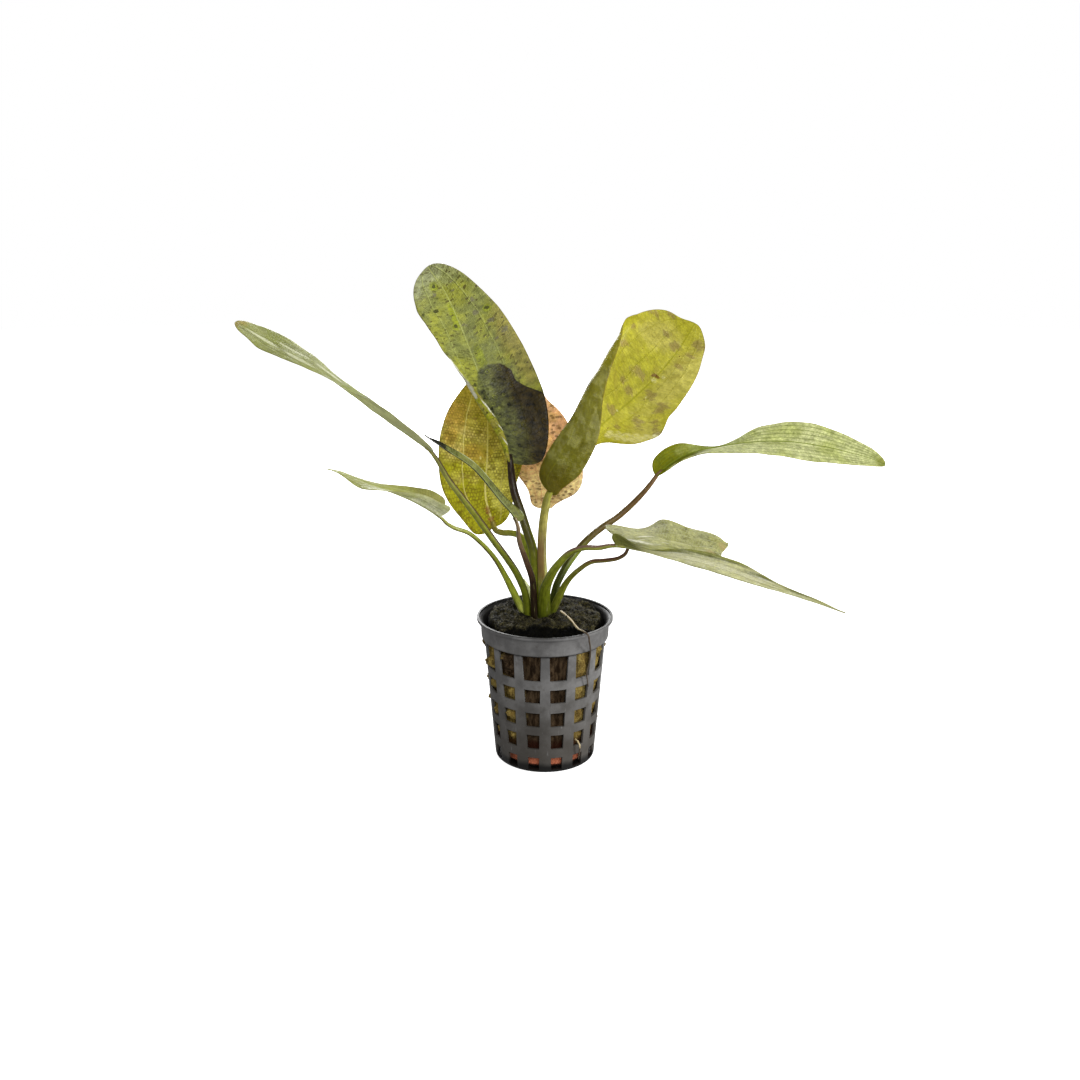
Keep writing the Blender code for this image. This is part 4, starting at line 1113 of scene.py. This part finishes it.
def pot_profile():
    """Radius and height up the outside of the pot, from the middle of the base to the lip."""
    edges = sorted(z for row in WINDOW_ROWS for z in row)
    flat = BASE_RADIUS - BASE_ROUNDING
    lip_foot = POT_HEIGHT - LIP_HEIGHT
    return (
        [(5, 0), (12, 0)]
        + [(flat + BASE_ROUNDING * math.sin(a), BASE_ROUNDING * (1 - math.cos(a)) * 0.75)
           for a in np.radians((0, 20, 40, 60, 80))]
        + [(body_radius(z), z) for z in edges]
        + [(SKIRT_RADIUS - 0.75, SKIRT_FOOT - 0.1), (SKIRT_RADIUS - 0.35, SKIRT_FOOT + 0.2)]
        + [(SKIRT_RADIUS - 0.2, SKIRT_FOOT + 0.8), (SKIRT_RADIUS, lip_foot - 0.5)]
        + [(SKIRT_RADIUS + 0.5, lip_foot - 0.1), (LIP_RADIUS - 0.35, lip_foot + 0.05)]
        + [(LIP_RADIUS, lip_foot + 0.4), (LIP_RADIUS, POT_HEIGHT)]
    )


def build_pot():
    """The net pot: a turned shell with its windows taken out, then given its wall."""
    per_column = 8
    side = COLUMN_PITCH / per_column * 3  # from the middle of a window to its side
    bm = turned(pot_profile(), COLUMNS * per_column)
    hole = [e for e in bm.edges if e.is_boundary and e.verts[0].co.z < 0.1]
    bmesh.ops.holes_fill(bm, edges=hole)
    bmesh.ops.recalc_face_normals(bm, faces=bm.faces)

    def in_window(face):
        x, y, z = face.calc_center_median()
        in_row = any(low < z < high for low, high in WINDOW_ROWS)
        return in_row and abs(window_offset(x, y)) < side

    bmesh.ops.delete(bm, geom=[f for f in bm.faces if in_window(f)], context="FACES")
    for vert in bm.verts:
        if WINDOW_ROWS[0][0] - 0.1 < vert.co.z < BODY_TOP + 0.1:
            offset = window_offset(*vert.co.xy)
            edge = window_angle(vert.co.z)
            far = (COLUMN_PITCH / 2 - edge) / (COLUMN_PITCH / 2 - side)
            moved = min(abs(offset), side) / side * edge + max(abs(offset) - side, 0) * far
            turn = math.copysign(moved, offset) - offset
            vert.co = Matrix.Rotation(math.radians(turn), 3, "Z") @ vert.co
    obj = as_piece("mesh_pot", to_mesh("pot", bm), pot_finish(), ["net_pot"])
    wall = obj.modifiers.new("wall", "SOLIDIFY")
    wall.thickness = WALL * MM
    wall.offset = -1
    wall.use_even_offset = True
    edge = obj.modifiers.new("edge", "BEVEL")
    edge.width = WALL_BEVEL * MM
    edge.segments = 3
    edge.limit_method = "ANGLE"
    edge.angle_limit = math.radians(50)
    edge.harden_normals = True


def pot_finish():
    """Moulded grey plastic, a little scratched, with dirt from the plug; darker towards the base, with
    painted shade along the bottom edge and inside the rim.
    """
    finish = Finish("finish_pot", specular_ior_level=0.3)
    place = finish.place()
    x, y, z = finish.parts(place)
    smears = finish.cloud(place, 9, 5, 0.6)
    finish.ground(finish.mix(smears.step(0.35, 0.65), (88, 87, 86), (112, 111, 110)))
    finish.paint((z + smears.sway(14)).step(50, 6) * 0.8, (56, 51, 44))
    # painted shade along the bottom edge, where it curves under
    finish.paint((z + smears.sway(3)).step(5.4, 2.4) * 0.95, (8, 7, 6))
    # painted shade on the inner wall and inside the lip, darkest at the front
    reach = (x * x + y * y) ** 0.5
    inner = reach.step(SKIRT_RADIUS - 0.4, SKIRT_RADIUS - 0.8) * z.step(BODY_TOP - 1, BODY_TOP + 0.5)
    lip = reach.step(LIP_RADIUS - 0.3, LIP_RADIUS - 0.7) * z.step(POT_HEIGHT - 1.6, POT_HEIGHT - 1.2)
    finish.paint(inner.most(lip), finish.mix(y.step(-20, -8), (6, 6, 5), (26, 25, 24)))
    finish.paint(z.step(POT_HEIGHT - 0.5, POT_HEIGHT - 0.2) * 0.7, (44, 43, 42))
    grain = finish.cloud(place, 0.5, 2)
    scratch = finish.cloud(finish.scaled(place, (1, 1, 0.12)), 0.7, 3)
    finish.paint(scratch.step(0.66, 0.74) * 0.25, (150, 150, 150))
    dirt = finish.cloud(place, 4, 5, 0.65)
    finish.paint(dirt.step(0.58, 0.72) * 0.35, (60, 54, 42))
    normal = finish.bump(grain + scratch.step(0.6, 0.75) * 0.4, 0.06, 0.6)
    return finish.done(roughness=grain * 0.15 + dirt * 0.2 + 0.42, normal=normal)


def stack(rings, sides):
    """Closed body through level rings of (radius, height)."""
    bm = turned([(0, rings[0][1])] + rings + [(0, rings[-1][1])], sides)
    bmesh.ops.remove_doubles(bm, verts=bm.verts, dist=MERGE)
    bmesh.ops.recalc_face_normals(bm, faces=bm.faces)
    return bm


def plug_top(x, y):
    """Height of the plug's top: near flat, with a round edge, and lower at the front."""
    edge = (np.hypot(x, y) / PLUG_RIM_RADIUS) ** 6
    front = np.clip((-y - PLUG_FRONT_EDGE) / 4, 0, 1)
    front = front * front * (3 - 2 * front)
    return PLUG_TOP + PLUG_TILT * y - PLUG_RIM_DROP * edge - PLUG_FRONT_DROP * front


def lumps(x, y, z, size, seed):
    """Uneven noise about nought, with lumps of that size in mm."""
    return noise.fractal(Vector((x, y, z + seed)) / size, 0.8, 2.1, 4)


def relief(x, y):
    """Height of the lumps on the plug's top, mm."""
    return 1.7 * lumps(x, y, 0, 3.6, 5) + 0.3 * lumps(x, y, 0, 1.1, 3)


def clipped(value):
    """The value, kept from 0 to 1."""
    return min(max(value, 0), 1)


def bulge(x, y, z):
    """How far moss swells out of the windows at the plug's left and right, mm."""
    sideways = clipped((window_angle(z) - 1.2 - abs(window_offset(x, y))) / 2.5)
    room = max(min(z - low, high - z) for low, high in WINDOW_ROWS)
    mossy = clipped((abs(x + 1) - 9) / 2) * clipped((z - 12) / 3) * (1.7 if x < 0 else 1)
    return MOSS_SWELL * sideways * clipped((room - 0.2) / 1.4) * mossy * (0.6 + lumps(x, y, z, 3, 1))


def build_plug():
    """The rockwool plug: a lumpy, fibrous cone that fills the pot."""
    heights = np.linspace(PLUG_LOW, BODY_TOP, 70)
    rings = [(body_radius(z) - WALL - PLUG_CLEARANCE - 1.2 * (z == PLUG_LOW), z) for z in heights]
    rings += [(PLUG_RIM_RADIUS - 0.3, z) for z in np.linspace(BODY_TOP + 0.7, PLUG_TOP - 1.2, 10)]
    rings += [(r, PLUG_TOP) for r in np.linspace(PLUG_RIM_RADIUS - 1, 0.6, 42)]
    bm = stack(rings, 150)
    for vert in bm.verts:
        x, y, z = vert.co
        radius = math.hypot(x, y)
        if radius < 0.01:
            continue
        if z > BODY_TOP + 0.1:
            share = (z - BODY_TOP) / (PLUG_TOP - BODY_TOP)
            top = plug_top(x, y) + relief(x, y) * min(1, share * share)
            z = BODY_TOP + (top - BODY_TOP) * share
        out = 0.45 * lumps(x, y, z * 0.6, 4.5, 9) + 0.12 * lumps(x, y, z, 1.3, 2)
        side = min(max(out, -0.9), 0.55) * min(1, radius / 15)
        side += bulge(x, y, z) * (z < BODY_TOP)
        vert.co = Vector((x, y, z)) + Vector((x, y, 0)).normalized() * (side - 0.2)
    as_piece("plug", to_mesh("plug", bm), plug_finish(), ["rockwool_plug"])


def plug_finish():
    """Wet rockwool: yellow-olive and brown fibres at the sides, black-brown and mossy on top, with
    painted shade low down, at the front and round the rim, and painted light to the right.
    """
    finish = Finish("finish_plug", specular_ior_level=0.06)
    place = finish.place()
    x, y, z = finish.parts(place)
    clumps = finish.cloud(place, 6, 4, 0.6)
    threads = finish.cloud(finish.scaled(place, (1, 1, 0.25)), 1.3, 4, 0.6)
    fuzz = finish.cloud(place, 0.9, 5, 0.75)
    bare = finish.mix(threads.step(0.35, 0.65), (84, 69, 52), (42, 31, 20))
    bare = finish.dimmed(bare, 0.85 + clumps.sway(2))
    mossy = (fuzz * 0.6 + clumps * 0.6).step(0.5, 0.7)
    finish.ground(finish.mix(mossy, (158, 138, 78), (116, 95, 49)))
    finish.paint(threads.step(0.5, 0.68) * 0.7, (62, 48, 26))
    finish.dim(1 - x.step(2, 10) * 0.22)
    across = x + clumps.sway(10)
    finish.paint((across + z.step(36, 42) * 8).step(-11, -7) * across.step(12, 8), bare)
    # painted shade low down, in the gap above the disc
    finish.paint((z + clumps.sway(6)).step(15, 11) * 0.9, (50, 26, 18))
    side = finish.colour
    finish.ground(finish.mix(fuzz.step(0.42, 0.66), (14, 12, 8), (84, 79, 54)))
    finish.paint(clumps.step(0.52, 0.38) * 0.75, (11, 10, 6))
    # painted light: the top grows lighter towards the right
    finish.dim(1 + x.step(-6, 12) * 0.4)
    # painted shade on the front slope of the top and in the gap round the rim
    gap = (y + clumps.sway(4)).step(1.9 - PLUG_FRONT_EDGE, 0.3 - PLUG_FRONT_EDGE)
    reach = (x * x + y * y) ** 0.5 + clumps.sway(2)
    gap = gap.most(reach.step(PLUG_RIM_RADIUS - 1.6, PLUG_RIM_RADIUS - 0.6))
    finish.paint(gap * 0.95, (4, 4, 3))
    finish.ground(finish.mix(z.step(52, 54), side, finish.colour))
    return finish.done(roughness=fuzz * 0.4 + 0.55, normal=finish.bump(fuzz + threads, 0.7))


def build_disc():
    """The clay disc on the pot's floor, with painted shade low on its side."""
    r = DISC_RADIUS
    rings = [(r - 0.9, DISC_LOW), (r - 0.3, DISC_LOW + 0.25), (r, DISC_LOW + 0.9)]
    heights = np.linspace(DISC_LOW + 1.4, DISC_HIGH - 0.9, 9)
    rings += [(r + 0.4 * k / 8, z) for k, z in enumerate(heights)]
    rings += [(r + 0.1, DISC_HIGH - 0.25), (r - 0.6, DISC_HIGH)]
    bm = stack(rings, 120)
    for vert in bm.verts:
        x, y, z = vert.co
        if math.hypot(x, y) > r - 1:
            vert.co += Vector((x, y, 0)).normalized() * 0.18 * lumps(x, y, z, 1.6, 4)
    finish = Finish("finish_disc", specular_ior_level=0.2)
    place = finish.place()
    grain = finish.cloud(place, 0.6, 4, 0.7)
    finish.ground(finish.mix(grain.step(0.35, 0.65), (188, 100, 70), (218, 132, 98)))
    # painted shade on the lower part of its side
    finish.paint((finish.parts(place)[2] + grain.sway(1.2)).step(2.7, 2.0) * 0.95, (30, 18, 13))
    finish.done(roughness=0.85, normal=finish.bump(grain, 0.3))
    as_piece("disc", to_mesh("disc", bm), finish, ["clay_disc"])


def build_crown():
    """The plant's crown: a low dark knob that the stalks stand on."""
    low, high = CROWN_SEAT - 0.4, CROWN_TOP
    steps = ((0.9, low), (0.98, low + 0.5), (1, low + 1), (0.97, high - 0.2), (0.85, high + 0.1),
             (0.6, high + 0.3), (0.35, high + 0.3))
    bm = stack([(CROWN_RADIUS * share, z) for share, z in steps], 64)
    bmesh.ops.translate(bm, vec=(*CROWN_CENTRE, 0), verts=bm.verts)
    for vert in bm.verts:
        vert.co += vert.normal * 0.35 * lumps(*vert.co, 1.5, 6)
    finish = Finish("finish_crown", specular_ior_level=0.4)
    bark = finish.cloud(finish.scaled(finish.place(), (1, 1, 0.4)), 0.9, 4, 0.65)
    tone = finish.mix(bark.step(0.4, 0.65), (28, 24, 16), (74, 68, 42))
    finish.use(base_color=tone, roughness=bark * 0.3 + 0.4, normal=finish.bump(bark, 0.5))
    as_piece("rootstock", to_mesh("crown", bm), finish, ["crown"])


def build_fibres():
    """Loose rockwool and moss fibres that stand off the plug's top."""
    bm = bmesh.new()
    bmesh.ops.create_grid(bm, x_segments=5, y_segments=3, size=0.5)
    base = bpy.data.meshes.new("fibre")
    bm.to_mesh(base)
    bm.free()
    strand = put("fibre", base)
    array = strand.modifiers.new("many", "ARRAY")
    array.count = FIBRES
    array.use_relative_offset = False
    array.use_constant_offset = True
    array.constant_offset_displace = (0, 0, 1)
    ready = strand.evaluated_get(bpy.context.evaluated_depsgraph_get())
    mesh = bpy.data.meshes.new_from_object(ready)
    bpy.data.objects.remove(strand)
    flat = np.zeros(len(mesh.vertices) * 3)
    mesh.vertices.foreach_get("co", flat)
    flat = flat.reshape(-1, 3)
    which = np.rint(flat[:, 2]).astype(int)
    u, turn = flat[:, 0] + 0.5, (flat[:, 1] + 0.5) * math.tau
    rng = np.random.default_rng(7)
    radius = PLUG_RIM_RADIUS * np.sqrt(rng.uniform(0, 0.98, FIBRES)) * 0.97
    angle = rng.uniform(0, math.tau, FIBRES)
    radius[np.sin(angle) * radius < -13.5] *= 0.55
    x, y = radius * np.cos(angle), radius * np.sin(angle)
    height = np.array([relief(*here) for here in zip(x, y)])
    heading = rng.uniform(0, math.tau, FIBRES)
    bend = rng.normal(0, 1.4, FIBRES)
    length = rng.uniform(1.2, 4.2, FIBRES)
    rise = rng.uniform(0.1, 0.7, FIBRES)
    thick = rng.uniform(0.035, 0.085, FIBRES)
    height = height - 0.15 + rng.uniform(-0.3, 0.3, FIBRES)
    # from here on one value for each point of the mesh
    way = heading[which] + bend[which] * (u - 0.5)
    x = x[which] + length[which] * (u - 0.5) * np.cos(way)
    y = y[which] + length[which] * (u - 0.5) * np.sin(way)
    pull = np.minimum(1, (PLUG_RIM_RADIUS - 1.4) / np.maximum(np.hypot(x, y), 0.01))
    x, y = x * pull, y * pull
    z = plug_top(x, y) + height[which] + rise[which] * np.sin(np.pi * u)
    w = thick[which] * (1 - 0.6 * u)
    x = x - w * np.cos(turn) * np.sin(way)
    y = y + w * np.cos(turn) * np.cos(way)
    z = z + w * np.sin(turn)
    mesh.vertices.foreach_set("co", (np.stack([x, y, z], axis=1) * MM).ravel())
    finish = Finish("finish_fibre", roughness=0.7)
    tufts = finish.cloud(finish.place(), 3, 4).step(0.4, 0.66)
    finish.use(base_color=finish.mix(tufts, (24, 21, 12), (92, 86, 54)))
    as_piece("moss_fibres", mesh, finish, [])


# ---------------------------------------------------------------- stage

# From the object: degrees round from the back towards the right, degrees up, metres away,
# metres across and watts.
LIGHTS = {
    "main": (165, 32, 1.5, 0.7, 14),
    "side": (98, 8, 1.5, 0.4, 22),
    "back": (352, 22, 1.3, 0.5, 16),
}
AIM = (0, 0, 90)
AIR_GLOW = 0.42
FLOOR_GLOW = 0.75
CAMERA_PLACE = (-2, -400, 200)
CAMERA_PITCH = 15.2
CAMERA_LENS = 34.8


def build_floor():
    """A wide pale floor that only the camera sees."""
    bm = bmesh.new()
    bmesh.ops.create_circle(bm, cap_ends=True, segments=64, radius=3)
    mesh = bpy.data.meshes.new("floor")
    bm.to_mesh(mesh)
    bm.free()
    finish = Finish("finish_floor", base_color=(0.9, 0.9, 0.9, 1), roughness=0.9,
                    emission_color=(1, 1, 1, 1), emission_strength=FLOOR_GLOW)
    mesh.materials.append(finish.material)
    floor = put("floor", mesh)
    floor.visible_diffuse = False
    floor.visible_glossy = False
    floor.visible_transmission = False


def build_air():
    """Soft light from all round, in front of a white wall."""
    world = bpy.data.worlds.new("studio")
    world.use_nodes = True
    tree = world.node_tree
    air = tree.nodes["Background"]
    wall = tree.nodes.new("ShaderNodeBackground")
    path = tree.nodes.new("ShaderNodeLightPath")
    both = tree.nodes.new("ShaderNodeMixShader")
    for background, strength in ((air, AIR_GLOW), (wall, 1)):
        background.inputs[0].default_value = (1, 1, 1, 1)
        background.inputs[1].default_value = strength
    for start, end in (
        (path.outputs["Is Camera Ray"], both.inputs[0]),
        (air.outputs[0], both.inputs[1]),
        (wall.outputs[0], both.inputs[2]),
        (both.outputs[0], tree.nodes["World Output"].inputs[0]),
    ):
        tree.links.new(start, end)
    bpy.context.scene.world = world
    bpy.context.scene.view_settings.view_transform = "Standard"


def build_lights():
    for name, (azimuth, height, distance, size, power) in LIGHTS.items():
        light = bpy.data.lights.new(name, "AREA")
        light.shape = "DISK"
        light.size = size
        light.energy = power
        lamp = put(name, light)
        a, e = math.radians(azimuth), math.radians(height)
        away = Vector((math.sin(a) * math.cos(e), math.cos(a) * math.cos(e), math.sin(e)))
        lamp.location = Vector(AIM) * MM + away * distance
        lamp.rotation_euler = away.to_track_quat("Z", "Y").to_euler()
        lamp.visible_camera = False


def build_camera():
    lens = bpy.data.cameras.new("camera")
    lens.sensor_width = 36
    lens.lens = CAMERA_LENS
    lens.clip_start = 0.01
    camera = put("camera", lens)
    camera.location = Vector(CAMERA_PLACE) * MM
    camera.rotation_euler = (math.radians(90 - CAMERA_PITCH), 0, 0)
    bpy.context.scene.camera = camera


build_floor()
build_air()
build_lights()
build_camera()
build_pot()
build_disc()
build_plug()
build_fibres()
build_crown()
for leaf in LEAVES:
    build_stalk(leaf, STALK_LOOKS[leaf.name])
    build_blade(leaf, LOOKS[leaf.name])
build_stub()
build_roots()
